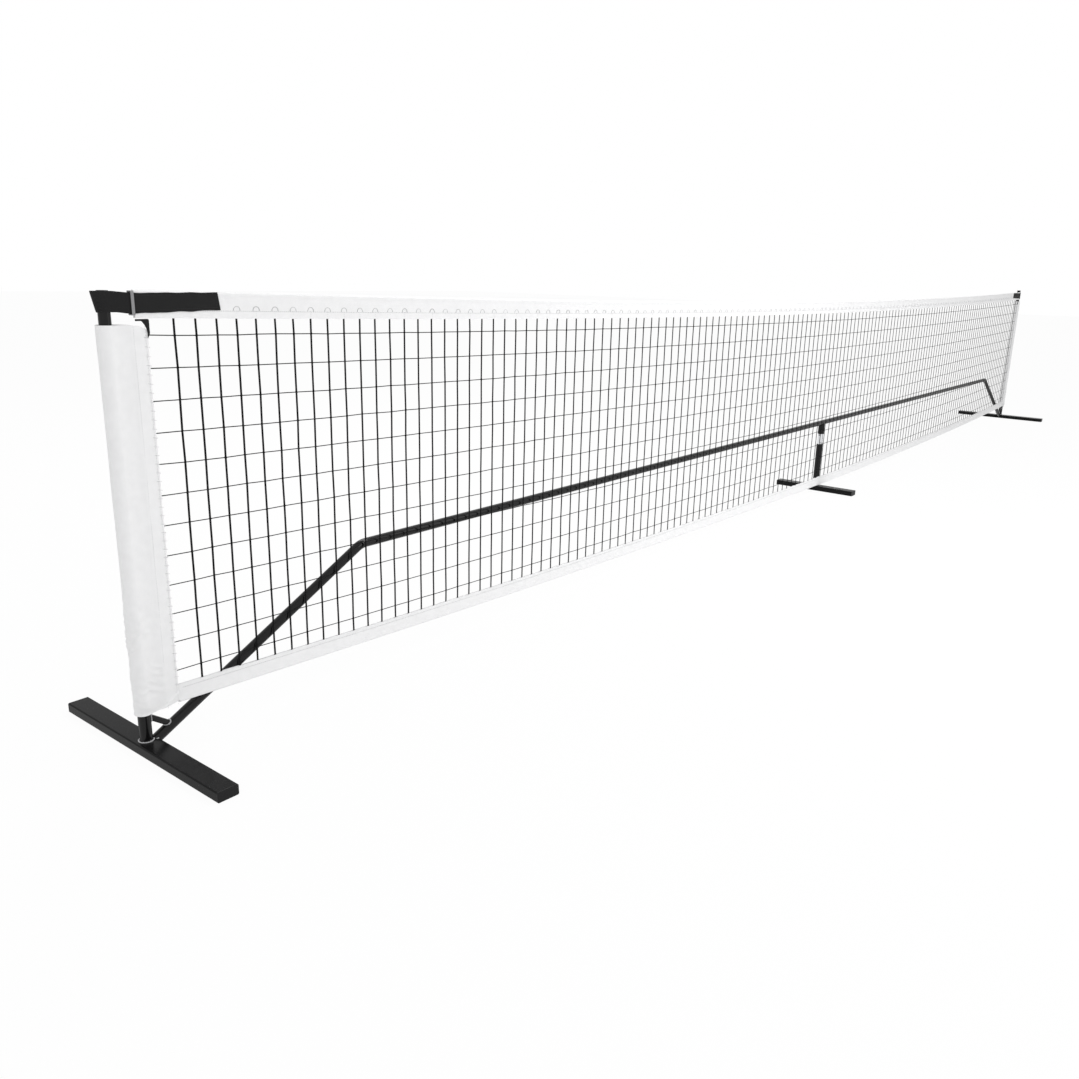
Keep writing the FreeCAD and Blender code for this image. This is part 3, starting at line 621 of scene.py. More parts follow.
@dataclass(frozen=True)
class SagLine:
    """A hanging edge from post to post, by its heights at both posts and midway."""

    half: float
    left: float
    middle: float
    right: float

    @property
    def slope(self) -> float:
        """Rise per metre at the middle."""
        return (self.right - self.left) / (2 * self.half)

    @property
    def curve(self) -> float:
        """Rise per square metre away from the middle."""
        return ((self.left + self.right) / 2 - self.middle) / self.half ** 2

    def height(self, x: Any) -> Any:
        """The edge's height at a place along the net."""
        return self.middle + self.slope * x + self.curve * x * x


# ---------------------------------------------------------------- geometry node trees


def run_tree(piece: Piece, tree: Tree, inputs: dict[str, Any]) -> Piece:
    """Runs a geometry tree on an object and keeps its result as a plain mesh.

    Args:
        piece: The object that the tree starts from.
        tree: The geometry tree.
        inputs: The values of its named inputs.

    Returns:
        The same object, with the made mesh and no modifier.
    """
    modifier = piece.modifiers.new("made", "NODES")
    modifier.node_group = tree
    keys = {item.name: item.identifier for item in tree.interface.items_tree
            if item.item_type == "SOCKET" and item.in_out == "INPUT"}
    for label, setting in inputs.items():
        modifier[keys[label]] = setting
    bpy.context.view_layer.update()
    ready = piece.evaluated_get(bpy.context.evaluated_depsgraph_get())
    made = bpy.data.meshes.new_from_object(ready)
    piece.modifiers.remove(modifier)
    piece.data = made
    return piece


GRID_RIM, RIM_STRETCH = 0.9999, 0.1
SHAKE_SCALE, SHAKE_GAIN = 17.0, 4.0
KNOT_SHAPE = (1.15, 0.85, 1.15)
INNER_NEIGHBOURS, INNER_FACES = 3.5, 1.5


def hang_grid(g: Graph, size: Sockets) -> Socket:
    """Hangs a flat grid between the two sagging edges, its rim drawn out to the sleeves and bands.

    Args:
        g: The tree's graph.
        size: The tree's inputs.

    Returns:
        The hung grid, slightly uneven.
    """
    grid = g.add("GeometryNodeMeshGrid", {
        "Size X": 2.0, "Size Y": 2.0, "Vertices X": g.math("ADD", size["Columns"], 2.0),
        "Vertices Y": g.math("ADD", size["Rows"], 2.0)}).outputs["Mesh"]
    axes = g.add("ShaderNodeSeparateXYZ", {0: g.add("GeometryNodeInputPosition").outputs[0]})
    spread = g.math("DIVIDE", g.math("ADD", size["Columns"], 1.0), g.math("SUBTRACT", size["Columns"], 1.0))
    wide = g.math("MULTIPLY", g.math("MULTIPLY", axes.outputs[0], spread), size["Half Width"])
    outermost = g.math("GREATER_THAN", g.math("ABSOLUTE", axes.outputs[0]), GRID_RIM)
    wide = g.math("MULTIPLY", wide, g.math("MULTIPLY_ADD", outermost, RIM_STRETCH, 1.0))
    x = g.add("ShaderNodeClamp", {"Value": wide, "Min": g.math("MULTIPLY", size["Reach"], -1.0),
                                  "Max": size["Reach"]}).outputs[0]
    last = g.math("DIVIDE", g.math("SUBTRACT", size["Rows"], 1.0), g.math("ADD", size["Rows"], 1.0))
    share = g.add("ShaderNodeMapRange", {"Value": axes.outputs[1], "From Min": g.math("MULTIPLY", last, -1.0),
                                         "From Max": last, "To Min": size["Edge Cell"],
                                         "To Max": g.math("SUBTRACT", 1.0, size["Edge Cell"])}, clamp=False)
    share = g.add("ShaderNodeClamp", {"Value": share.outputs[0],
                                      "Min": g.math("MULTIPLY", size["Tuck"], -1.0),
                                      "Max": g.math("ADD", size["Tuck"], 1.0)}).outputs[0]
    square = g.math("MULTIPLY", x, x)
    top = g.math("ADD", g.math("MULTIPLY_ADD", square, size["Top Curve"], size["Top Middle"]),
                 g.math("MULTIPLY", x, size["Top Slope"]))
    foot = g.math("MULTIPLY_ADD", square, size["Foot Curve"], size["Foot Middle"])
    z = g.math("MULTIPLY_ADD", g.math("SUBTRACT", top, foot), share, foot)
    place = g.add("ShaderNodeCombineXYZ", {0: x, 1: size["Plane"], 2: z}).outputs[0]
    hung = g.add("GeometryNodeSetPosition", {"Geometry": grid, "Position": place}).outputs[0]
    shake = g.add("ShaderNodeTexNoise", {"Scale": SHAKE_SCALE, "Detail": 2.0, "W": size["Seed"]},
                  noise_dimensions="4D").outputs["Color"]
    centred = g.add("ShaderNodeVectorMath", {0: shake, 1: (0.5, 0.5, 0.5)}, operation="SUBTRACT").outputs[0]
    gain = g.math("MULTIPLY", size["Unevenness"], SHAKE_GAIN)
    scale = g.add("ShaderNodeCombineXYZ", {0: gain, 2: gain}).outputs[0]
    nudge = g.add("ShaderNodeVectorMath", {0: centred, 1: scale}, operation="MULTIPLY").outputs[0]
    return g.add("GeometryNodeSetPosition", {"Geometry": hung, "Offset": nudge}).outputs[0]


def net_twine(g: Graph, size: Sockets, hung: Socket) -> list[Socket]:
    """Makes twine of the hung grid's edges.

    Args:
        g: The tree's graph.
        size: The tree's inputs.
        hung: The hung grid.

    Returns:
        The upright strands and the rungs.
    """
    ends = g.add("GeometryNodeInputMeshEdgeVertices")
    first, second = (g.add("ShaderNodeSeparateXYZ", {0: ends.outputs[label]}).outputs
                     for label in ("Position 1", "Position 2"))
    run, rise = (g.math("ABSOLUTE", g.math("SUBTRACT", first[axis], second[axis])) for axis in (0, 2))
    upright = g.math("LESS_THAN", run, rise)
    inside = g.math("LESS_THAN", g.math("ABSOLUTE", first[0]),
                    g.math("MULTIPLY_ADD", size["Unevenness"], SHAKE_GAIN, size["Half Width"]))
    shared = g.add("GeometryNodeInputMeshEdgeNeighbors").outputs["Face Count"]
    across = g.math("MULTIPLY", g.math("SUBTRACT", 1.0, upright),
                    g.math("GREATER_THAN", shared, INNER_FACES))
    twine = []
    for chosen, radius, sides in ((g.math("MULTIPLY", upright, inside), "Strand Radius", 6),
                                  (across, "Rung Radius", 5)):
        line = g.add("GeometryNodeMeshToCurve", {"Mesh": hung, "Selection": chosen}).outputs[0]
        profile = g.add("GeometryNodeCurvePrimitiveCircle", {"Resolution": sides, "Radius": size[radius]})
        twine.append(g.add("GeometryNodeCurveToMesh", {"Curve": line, "Profile Curve": profile.outputs[0],
                                                       "Fill Caps": True}).outputs[0])
    return twine


def net_knots(g: Graph, size: Sockets, hung: Socket) -> Socket:
    """Places a knot where each strand meets a rung."""
    counts = g.add("GeometryNodeInputMeshVertexNeighbors").outputs["Vertex Count"]
    interior = g.math("GREATER_THAN", counts, INNER_NEIGHBOURS)
    ball = g.add("GeometryNodeMeshIcoSphere", {"Radius": size["Knot Radius"],
                                               "Subdivisions": 1}).outputs["Mesh"]
    turns = g.add("FunctionNodeRandomValue", {"Min": (0.0, -0.6, 0.0), "Max": (6.0, 0.6, 0.5)},
                  data_type="FLOAT_VECTOR").outputs[0]
    return g.add("GeometryNodeInstanceOnPoints", {"Points": hung, "Selection": interior, "Instance": ball,
                                                  "Rotation": turns, "Scale": KNOT_SHAPE}).outputs[0]


def netting_tree() -> Tree:
    """Builds the tree for a knotted net hung between two sagging edges.

    Returns:
        The tree. Its strands run up, its rungs across, and a knot sits where they meet.
    """
    tree, g, start, end = new_group("knotted_net", "GeometryNodeTree", {
        "Geometry": (GEOMETRY, None), "Columns": (WHOLE, 134), "Rows": (WHOLE, 12),
        "Half Width": (FLOAT, 3.233), "Reach": (FLOAT, 3.302), "Plane": (FLOAT, -0.017),
        "Edge Cell": (FLOAT, 0.042), "Tuck": (FLOAT, 0.013), "Top Middle": (FLOAT, 0.81),
        "Top Slope": (FLOAT, 0.0), "Top Curve": (FLOAT, 0.0), "Foot Middle": (FLOAT, 0.07),
        "Foot Curve": (FLOAT, 0.0), "Strand Radius": (FLOAT, 0.0016), "Rung Radius": (FLOAT, 0.0009),
        "Knot Radius": (FLOAT, 0.0026), "Unevenness": (FLOAT, 0.0012), "Flatness": (FLOAT, 0.6),
        "Seed": (FLOAT, 3.0), "Material": (STUFF, None)}, {"Geometry": GEOMETRY})
    size = start.outputs
    hung = hang_grid(g, size)
    joined = g.add("GeometryNodeJoinGeometry")
    for part in (*net_twine(g, size, hung), net_knots(g, size, hung)):
        g.feed(joined, {0: part})
    real = g.add("GeometryNodeRealizeInstances", {0: joined.outputs[0]}).outputs[0]
    spot = g.add("ShaderNodeSeparateXYZ", {0: g.add("GeometryNodeInputPosition").outputs[0]}).outputs
    shallow = g.math("MULTIPLY_ADD", g.math("SUBTRACT", spot[1], size["Plane"]), size["Flatness"],
                     size["Plane"])
    pressed = g.add("ShaderNodeCombineXYZ", {0: spot[0], 1: shallow, 2: spot[2]}).outputs[0]
    flat = g.add("GeometryNodeSetPosition", {"Geometry": real, "Position": pressed}).outputs[0]
    close_tree(g, end, flat, size["Material"])
    return tree


def close_tree(g: Graph, end: Node, made: Socket,
               material: Socket) -> None:
    """Ends a geometry tree: real meshes, smooth faces and the material."""
    real = g.add("GeometryNodeRealizeInstances", {0: made}).outputs[0]
    smooth = g.add("GeometryNodeSetShadeSmooth", {0: real}).outputs[0]
    dressed = g.add("GeometryNodeSetMaterial", {"Geometry": smooth, "Material": material}).outputs[0]
    g.feed(end, {0: dressed})


def beads_along(g: Graph, size: Sockets, bead: Socket,
                shape: Socket) -> Socket:
    """Lays beads at an even pitch along the object's edges, each turned to its edge.

    Args:
        g: The tree's graph.
        size: The tree's inputs, with its Geometry and Pitch.
        bead: The bead's mesh.
        shape: The bead's scale along the edge and across it.

    Returns:
        The laid beads.
    """
    line = g.add("GeometryNodeMeshToCurve", {"Mesh": size["Geometry"]}).outputs[0]
    spaced = g.add("GeometryNodeResampleCurve", {"Curve": line, "Length": size["Pitch"]}, mode="LENGTH")
    ahead = g.add("GeometryNodeInputTangent").outputs[0]
    turn = g.add("FunctionNodeAlignEulerToVector", {"Vector": ahead}, axis="X").outputs[0]
    return g.add("GeometryNodeInstanceOnPoints", {"Points": spaced.outputs[0], "Instance": bead,
                                                  "Rotation": turn, "Scale": shape}).outputs[0]


def stitch_tree() -> Tree:
    """Builds the tree that lays short stitches along the object's edges.

    Returns:
        The tree, with the pitch, length and thickness of its stitches as inputs.
    """
    tree, g, start, end = new_group("stitch_row", "GeometryNodeTree", {
        "Geometry": (GEOMETRY, None), "Pitch": (FLOAT, 0.005), "Length": (FLOAT, 0.0036),
        "Thickness": (FLOAT, 0.0006), "Material": (STUFF, None)}, {"Geometry": GEOMETRY})
    size = start.outputs
    bead = g.add("GeometryNodeMeshIcoSphere", {"Radius": 0.5, "Subdivisions": 1}).outputs["Mesh"]
    shape = g.add("ShaderNodeCombineXYZ", {0: size["Length"], 1: size["Thickness"], 2: size["Thickness"]})
    close_tree(g, end, beads_along(g, size, bead, shape.outputs[0]), size["Material"])
    return tree


def loop_tree() -> Tree:
    """Builds the tree that sews a small arch of thread at each of the object's points.

    Returns:
        The tree, with the arch's width, height and thread as inputs.
    """
    tree, g, start, end = new_group("thread_arches", "GeometryNodeTree", {
        "Geometry": (GEOMETRY, None), "Width": (FLOAT, 0.0155), "Height": (FLOAT, 0.0085),
        "Thread": (FLOAT, 0.0008), "Material": (STUFF, None)}, {"Geometry": GEOMETRY})
    size = start.outputs
    half = g.math("MULTIPLY", size["Width"], 0.5)
    left = g.add("ShaderNodeCombineXYZ", {0: g.math("MULTIPLY", half, -1.0)}).outputs[0]
    crown = g.add("ShaderNodeCombineXYZ", {2: size["Height"]}).outputs[0]
    right = g.add("ShaderNodeCombineXYZ", {0: half}).outputs[0]
    bow = g.add("GeometryNodeCurveArc", {"Start": left, "Middle": crown, "End": right, "Resolution": 8},
                mode="POINTS").outputs[0]
    profile = g.add("GeometryNodeCurvePrimitiveCircle", {"Resolution": 4, "Radius": size["Thread"]})
    arch = g.add("GeometryNodeCurveToMesh", {"Curve": bow, "Profile Curve": profile.outputs[0],
                                             "Fill Caps": True})
    sewn = g.add("GeometryNodeInstanceOnPoints", {"Points": size["Geometry"], "Instance": arch.outputs[0]})
    close_tree(g, end, sewn.outputs[0], size["Material"])
    return tree


def weld_tree() -> Tree:
    """Builds the tree that lays overlapping weld ripples along the object's edges.

    Returns:
        The tree, with the ripple's pitch and size as inputs.
    """
    tree, g, start, end = new_group("weld_ripples", "GeometryNodeTree", {
        "Geometry": (GEOMETRY, None), "Pitch": (FLOAT, 0.0022), "Size": (FLOAT, 0.0028), "Seed": (WHOLE, 5),
        "Material": (STUFF, None)}, {"Geometry": GEOMETRY})
    size = start.outputs
    ripple = g.add("GeometryNodeMeshIcoSphere", {"Radius": 1.0, "Subdivisions": 2}).outputs["Mesh"]
    grow = g.add("FunctionNodeRandomValue", {"Min": 0.85, "Max": 1.12, "Seed": size["Seed"]},
                 data_type="FLOAT")
    wide = g.math("MULTIPLY", size["Size"], next(s for s in grow.outputs if s.enabled))
    shape = g.add("ShaderNodeCombineXYZ", {0: g.math("MULTIPLY", wide, 0.75), 1: wide, 2: wide}).outputs[0]
    close_tree(g, end, beads_along(g, size, ripple, shape), size["Material"])
    return tree


def lines_object(name: str, lines: Sequence[np.ndarray]) -> Piece:
    """Makes an object of bare edges from runs of points.

    Args:
        name: The object's name.
        lines: The runs, each points by 3.

    Returns:
        The object that a geometry tree can start from.
    """
    verts: list[Sequence[float]] = []
    edges: list[tuple[int, int]] = []
    for line in lines:
        first = len(verts)
        verts.extend(line)
        edges.extend((first + i, first + i + 1) for i in range(len(line) - 1))
    return mesh_object(name, verts, edges, [])


# ---------------------------------------------------------------- the net and its cloth


@dataclass
class Lines:
    """Heights and planes that the net and its cloth share."""

    post_x: float = 3.365
    plane: float = -0.017
    top: SagLine = field(default_factory=lambda: SagLine(3.365, 0.914, 0.864, 0.900))
    foot: SagLine = field(default_factory=lambda: SagLine(3.365, 0.091, 0.027, 0.091))
    columns: int = 143
    first_column: float = 3.240

    def column_places(self) -> np.ndarray:
        """The X of every upright strand."""
        return np.linspace(-self.first_column, self.first_column, self.columns)


@dataclass
class Netting:
    """The knotted net between the two bands."""

    lines: Lines
    headband_width: float
    bottom_band_width: float
    rows: int = 12
    strand_radius: float = 0.0023
    rung_radius: float = 0.00108
    knot_radius: float = 0.0031

    def build(self, palette: Palette) -> None:
        """Hangs the net.

        Args:
            palette: The finishes.
        """
        lines = self.lines
        top, foot = lines.top, lines.foot
        net = mesh_object("knotted_net", [(0, 0, 0)], [], [])
        run_tree(net, netting_tree(), {
            "Columns": lines.columns, "Rows": self.rows, "Half Width": lines.first_column,
            "Plane": lines.plane, "Top Middle": top.middle - self.headband_width, "Top Slope": top.slope,
            "Top Curve": top.curve, "Foot Middle": foot.middle + self.bottom_band_width,
            "Foot Curve": foot.curve, "Strand Radius": self.strand_radius, "Rung Radius": self.rung_radius,
            "Knot Radius": self.knot_radius, "Material": palette.net})
        finish_piece(net, palette.net, ROOT)
        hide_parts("net")


@dataclass
class Band:
    """A tape folded over the net's edge and sewn through."""

    name: str
    edge: SagLine
    fold: Fold
    width: float
    end: float
    plane: float
    thick: float = 0.0052
    layer: float = 0.0011
    hem: float = 0.0034
    wave: float = 0.0014
    pucker: float = 0.0005
    seam_share: float = 0.7
    seam_width: float = 0.12
    squeeze: float = 0.12
    stations: int = 330

    def section(self) -> np.ndarray:
        """The tape's middle line across the band, from the front open edge over the fold to the back.

        Returns:
            Points as (towards the back, down from the fold).
        """
        half = (self.thick - self.layer) / 2
        legs = np.linspace(self.width - self.layer / 2, self.hem * 2.2, 9)
        front = np.stack([np.full(9, -half), legs], axis=1)
        over = np.radians(np.linspace(-180, 0, 13)[1:-1])
        bulge = np.stack([self.hem * np.cos(over), self.hem * (1.0 + np.sin(over)) + self.layer / 2], axis=1)
        back = np.stack([np.full(9, half), legs[::-1]], axis=1)
        return np.concatenate([front, bulge, back])

    def build(self, palette: Palette) -> None:
        """Lofts the band along its sagging edge.

        Args:
            palette: The finishes.
        """
        middle = self.section()
        outside, inside = beside(middle, -self.layer / 2), beside(middle, self.layer / 2)
        if outside[0, 0] > inside[0, 0]:
            outside, inside = inside, outside
        places = np.linspace(-self.end, self.end, self.stations)
        faces = [self.loft(section, places) for section in (outside, inside)]
        band = shell(self.name, *faces)
        finish_piece(band, palette.white, ROOT)
        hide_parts(self.name.replace("_tape", ""))

    def puckers(self, x: float) -> float:
        """How the sewn tape puckers at a place along it."""
        return wobble(x * 24.0, self.fold.value * 3.0, 4.0) * self.pucker

    def face_y(self, x: float, across: float, down: float) -> float:
        """The Y of a place on the tape.

        Args:
            x: Its place along the net.
            across: How far it lies behind the net's plane on the flat section.
            down: How far it lies from the fold.

        Returns:
            Its Y with the tape's waves and the seam's squeeze.
        """
        share = down / self.width
        seam = math.exp(-((share - self.seam_share) / self.seam_width) ** 2)
        wave = wobble(x * 2.3, self.fold.value * 7.0, 0.0) * self.wave
        return self.plane + across * (1.0 - self.squeeze * seam) + wave * share + self.puckers(x) * seam

    def loft(self, section: np.ndarray, places: np.ndarray) -> np.ndarray:
        """Repeats a section along the sagging edge, with the slight waves of sewn tape.

        Args:
            section: Points across the band.
            places: The stations' X.

        Returns:
            Points, stations by section points by 3.
        """
        grid = np.zeros((len(places), len(section), 3))
        for row, x in enumerate(places):
            for column, (across, down) in enumerate(section):
                lift = self.puckers(x) * 0.8 * (down / self.width)
                z = self.edge.height(x) - self.fold.value * (down + lift)
                grid[row, column] = (x, self.face_y(x, across, down), z)
        return grid


@dataclass
class PostSleeve:
    """A cloth sleeve round a post, closing into a flap that holds the net's side."""

    side: Side
    lines: Lines
    low: float
    high: float
    layer: float = 0.0009
    radius: float = 0.0168
    fold: float = 0.040
    edge: float = 0.069
    flap: float = 0.0038
    hem_rise: float = 0.011
    top_clip: float = 0.010
    fold_from: float = 0.026
    fold_climb: float = 0.030
    fold_step: float = 0.0024
    fold_blur: float = 0.0022
    soft: float = 0.0016
    crush: float = 0.0024
    stray: float = 0.0014
    waviness: float = 0.0012
    bunching: float = 0.0028
    bunch_rise: float = 0.13
    bunch_span: float = 0.09
    dip: float = 0.0028
    puff: float = 0.0068
    stations: int = 170

    def path(self) -> np.ndarray:
        """The cloth's middle line seen from above, with X measured from the post towards the net."""
        half = (self.flap - self.layer) / 2
        plane = self.lines.plane
        near, far = (0.0, -self.radius), (0.0, self.radius)
        front, back = (self.fold, plane - half), (self.fold, plane + half)
        dip = (self.fold / 2, (near[1] + front[1]) / 2 + self.dip)
        puff = (self.fold / 2, (far[1] + back[1]) / 2 + self.puff)
        out = np.stack([np.linspace(self.edge, self.fold, 9), np.full(9, front[1])], axis=1)
        home = np.stack([np.linspace(self.fold, self.edge, 9), np.full(9, back[1])], axis=1)
        runs = [out, arc_through(front, dip, near, 13)[1:],
                arc_through(near, (-self.radius, 0.0), far, 19)[1:],
                arc_through(far, puff, back, 15)[1:], home[1:]]
        return np.concatenate(runs)

    def build(self, palette: Palette) -> None:
        """Sweeps the sleeve up the post with its soft wrinkles.

        Args:
            palette: The finishes.
        """
        path = self.path()
        heights = self.low + (self.high - self.low) * np.linspace(0.0, 1.0, self.stations) ** 1.5
        faces = [self.sweep(path, shift, heights) for shift in (-self.layer / 2, self.layer / 2)]
        sleeve = shell(self.side.word + "_sleeve_cloth", *faces)
        finish_piece(sleeve, palette.white, ROOT)
        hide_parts(self.side.word + "_sleeve")

    def sweep(self, path: np.ndarray, shift: float, heights: np.ndarray) -> np.ndarray:
        """Places one face of the cloth.

        Args:
            path: The middle line from above.
            shift: How far this face lies from it.
            heights: The stations' heights.

        Returns:
            Points, stations by path points by 3.
        """
        grid = np.zeros((len(heights), len(path), 3))
        ahead = np.gradient(path, axis=0)
        ahead /= np.linalg.norm(ahead, axis=1, keepdims=True)
        away = np.stack([-ahead[:, 1], ahead[:, 0]], axis=1)
        if away[len(path) // 2, 0] > 0:
            away = -away
        for row, level in enumerate(heights):
            share = (level - self.low) / (self.high - self.low)
            droop = 1.0 - share
            for column, (x, y) in enumerate(path):
                out = max(0.0, x) / self.edge
                z = level + self.hem_rise * out ** 1.3 * droop ** 8 - self.top_clip * out ** 6 * share ** 30
                slack = held((self.fold + 0.012 - x) / 0.03)
                soft = wobble(x * 34.0, y * 30.0, z * 9.0 + self.side.value * 5.0) * self.soft
                crush = wobble(x * 26.0 + z * 30.0, y * 26.0, z * 34.0) * self.crush * droop ** 2
                bulge = (abs(soft) + abs(crush) + self.crease(x, y, z)) * slack
                ripple = self.ripple(z) * (1.0 - slack)
                px, py = path[column] + away[column] * (shift + bulge)
                px += wobble(z * 90.0, 1.0, self.side.value) * self.stray * out ** 8
                front = 1.0 if column < len(path) // 3 else 0.0
                grid[row, column] = (self.side.value * (self.lines.post_x - px),
                                     py + ripple - front * self.tuck(x, z), z)
        return grid

    def ripple(self, z: float) -> float:
        """How far the flap waves out of its plane at a height."""
        calm = held((self.high - z) / 0.09)
        return wobble(3.0, z * 15.0, self.side.value) * self.waviness * calm

    def crease(self, x: float, y: float, z: float) -> float:
        """Height of the sharp little creases where the cloth bunches above its hem."""
        bunched = math.exp(-((z - self.low - self.bunch_rise) / self.bunch_span) ** 2)
        where = wobble(x * 21.0, y * 21.0, z * 17.0 + self.side.value * 3.0)
        fine = wobble(x * 38.0 + z * 30.0, y * 34.0, z * 66.0 + where * 2.0)
        patch = held(where * 4.0 + 0.5)
        return self.bunching * bunched * patch * max(0.0, 1.0 - abs(fine) * 5.0)

    def tuck(self, x: float, z: float) -> float:
        """How far the front stands out below the slanting fold at its lower corner."""
        climb = (x - self.fold_from) / (self.edge - self.fold_from)
        line = self.low + 0.003 + self.fold_climb * climb
        below = held((line - z) / self.fold_blur)
        return self.fold_step * below * held(climb * 6.0)


@dataclass
class Strap:
    """Webbing from the headband's front, round the post and back along its rear."""

    side: Side
    lines: Lines
    post_radius: float
    low: float
    width: float
    reach: float = 0.222
    straight: float = 0.0398
    thick: float = 0.0018
    layer: float = 0.0038
    flare: float = 0.009
    slant: float = 0.005
    gap: float = 0.0003
    half_layer: float = 0.001
    wave: float = 0.0014
    slack: float = 0.0025

    def path(self) -> np.ndarray:
        """The webbing's middle line from above, with X measured from the post towards the net."""
        radius = self.post_radius + self.gap + self.half_layer
        runs = []
        for y, way in ((self.lines.plane - self.layer, -1), (self.lines.plane + self.layer, 1)):
            turn = math.atan2(y, self.straight) + way * math.acos(radius / math.hypot(self.straight, y))
            leave = (radius * math.cos(turn), radius * math.sin(turn))
            flat = np.stack([np.linspace(self.reach, self.straight, 30), np.full(30, y)], axis=1)
            slope = np.linspace((self.straight, y), leave, 8)[1:]
            runs.append(np.concatenate([flat, slope]))
        around = arc_through(runs[0][-1], (-radius, 0.0), runs[1][-1], 26)[1:-1]
        return np.concatenate([runs[0], around, runs[1][::-1]])

    def build(self, palette: Palette) -> None:
        """Sweeps the strap.

        Args:
            palette: The finishes.
        """
        path = self.path()
        ups = np.linspace(0.0, 1.0, 9)
        faces = []
        for shift in (-self.thick / 2, self.thick / 2):
            moved = beside(path, shift)
            grid = np.zeros((len(path), len(ups), 3))
            for row, (x, y) in enumerate(moved):
                wave = wobble(path[row, 0] * 40.0, path[row, 1] * 40.0, self.side.value * 2.0)
                round_post = held((0.018 - path[row, 0]) / 0.03)
                for column, up in enumerate(ups):
                    slim = 1.0 - 0.35 * (abs(up - 0.5) > 0.49)
                    px, py = path[row] + (np.array([x, y]) - path[row]) * slim
                    px -= self.flare * up * round_post
                    px += self.slant * (0.5 - up) * max(0.0, path[row, 0] / self.reach) ** 12
                    low, high = self.rims(path[row, 0])
                    z = self.low + low + up * (high - low) + wave * self.wave * (1.0 - 1.6 * up)
                    grid[row, column] = (self.side.value * (self.lines.post_x - px), py, z)
            faces.append(grid)
        strap = shell(self.side.word + "_strap_webbing", *faces)
        finish_piece(strap, palette.webbing, ROOT)
        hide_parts(self.side.word + "_strap")

    def rims(self, x: float) -> tuple[float, float]:
        """The strap's lower and upper rim, from its lowest line, at a distance from the post."""
        along = held((x - self.straight) / (self.reach - self.straight))
        slack = self.slack * held((self.straight - x) / 0.02)
        return 0.001 + 0.004 * along + slack, self.width - 0.002 + 0.0005 * along + slack


@dataclass
class CornerBinding:
    """Black binding tape under the headband's end, turned down along the net to a point."""

    side: Side
    lines: Lines
    headband_width: float
    edge: float = 0.0695
    wide: float = 0.0065
    bar: float = 0.0035
    spread: float = 0.0150
    reach: float = 0.036
    drop: float = 0.034
    thick: float = 0.0014
    proud: float = 0.0024
    crown: float = 0.0006
    crumple: float = 0.0004
    rungs: int = 7

    def rims(self, high: float) -> tuple[np.ndarray, np.ndarray]:
        """The tape's two long rims, with X measured from the post towards the net.

        Args:
            high: The height of its upper rim.

        Returns:
            The upper and outer rim and the lower and inner rim, points by 2.
        """
        inner, thin = self.edge + self.bar, self.wide * 0.55
        root, tip = self.edge + 2 * self.wide - self.reach, (inner - 0.0045, high - self.drop)
        bend = arc_through((inner, high - self.drop * 0.6), (inner - 0.001, high - self.drop * 0.85), tip, 9)
        upper = np.linspace((root, high), (inner - 0.002, high), 12)
        side = np.linspace((inner, high - 0.002), (inner, high - self.drop * 0.55), 8)
        outer = np.concatenate([upper, side, bend])
        turn = (inner - self.spread, high - thin)
        sweep = arc_through(turn, (inner - self.spread * 0.6, high - self.drop * 0.32), tip, len(outer) - 13)
        lower = np.concatenate([np.linspace((root, high - thin), turn, 14), sweep[1:]])
        return outer, lower

    def build(self, palette: Palette) -> Piece:
        """Fills the tape between its rims.

        Args:
            palette: The finishes.

        Returns:
            The binding.
        """
        sign, post = self.side.value, self.lines.post_x
        inner = self.edge + 2 * self.wide
        high = self.lines.top.height(sign * (post - inner)) - self.headband_width - 0.0004
        outer, lower = self.rims(high)
        y = self.lines.plane - self.proud - self.thick / 2
        faces = []
        for shift in (-self.thick / 2, self.thick / 2):
            grid = np.zeros((len(outer), self.rungs, 3))
            for column, share in enumerate(np.linspace(0.0, 1.0, self.rungs)):
                flat = outer * (1.0 - share) + lower * share
                crown = self.crown * math.sin(math.pi * share) * (1.0 if shift < 0 else 0.0)
                for row, (x, z) in enumerate(flat):
                    fold = wobble(x * 150.0, z * 150.0, sign * 3.0) * self.crumple
                    grid[row, column] = (sign * (post - x), y + shift - crown - abs(fold), z)
            faces.append(grid)
        binding = shell(self.side.word + "_corner_binding", *faces)
        finish_piece(binding, palette.binding, ROOT)
        return binding


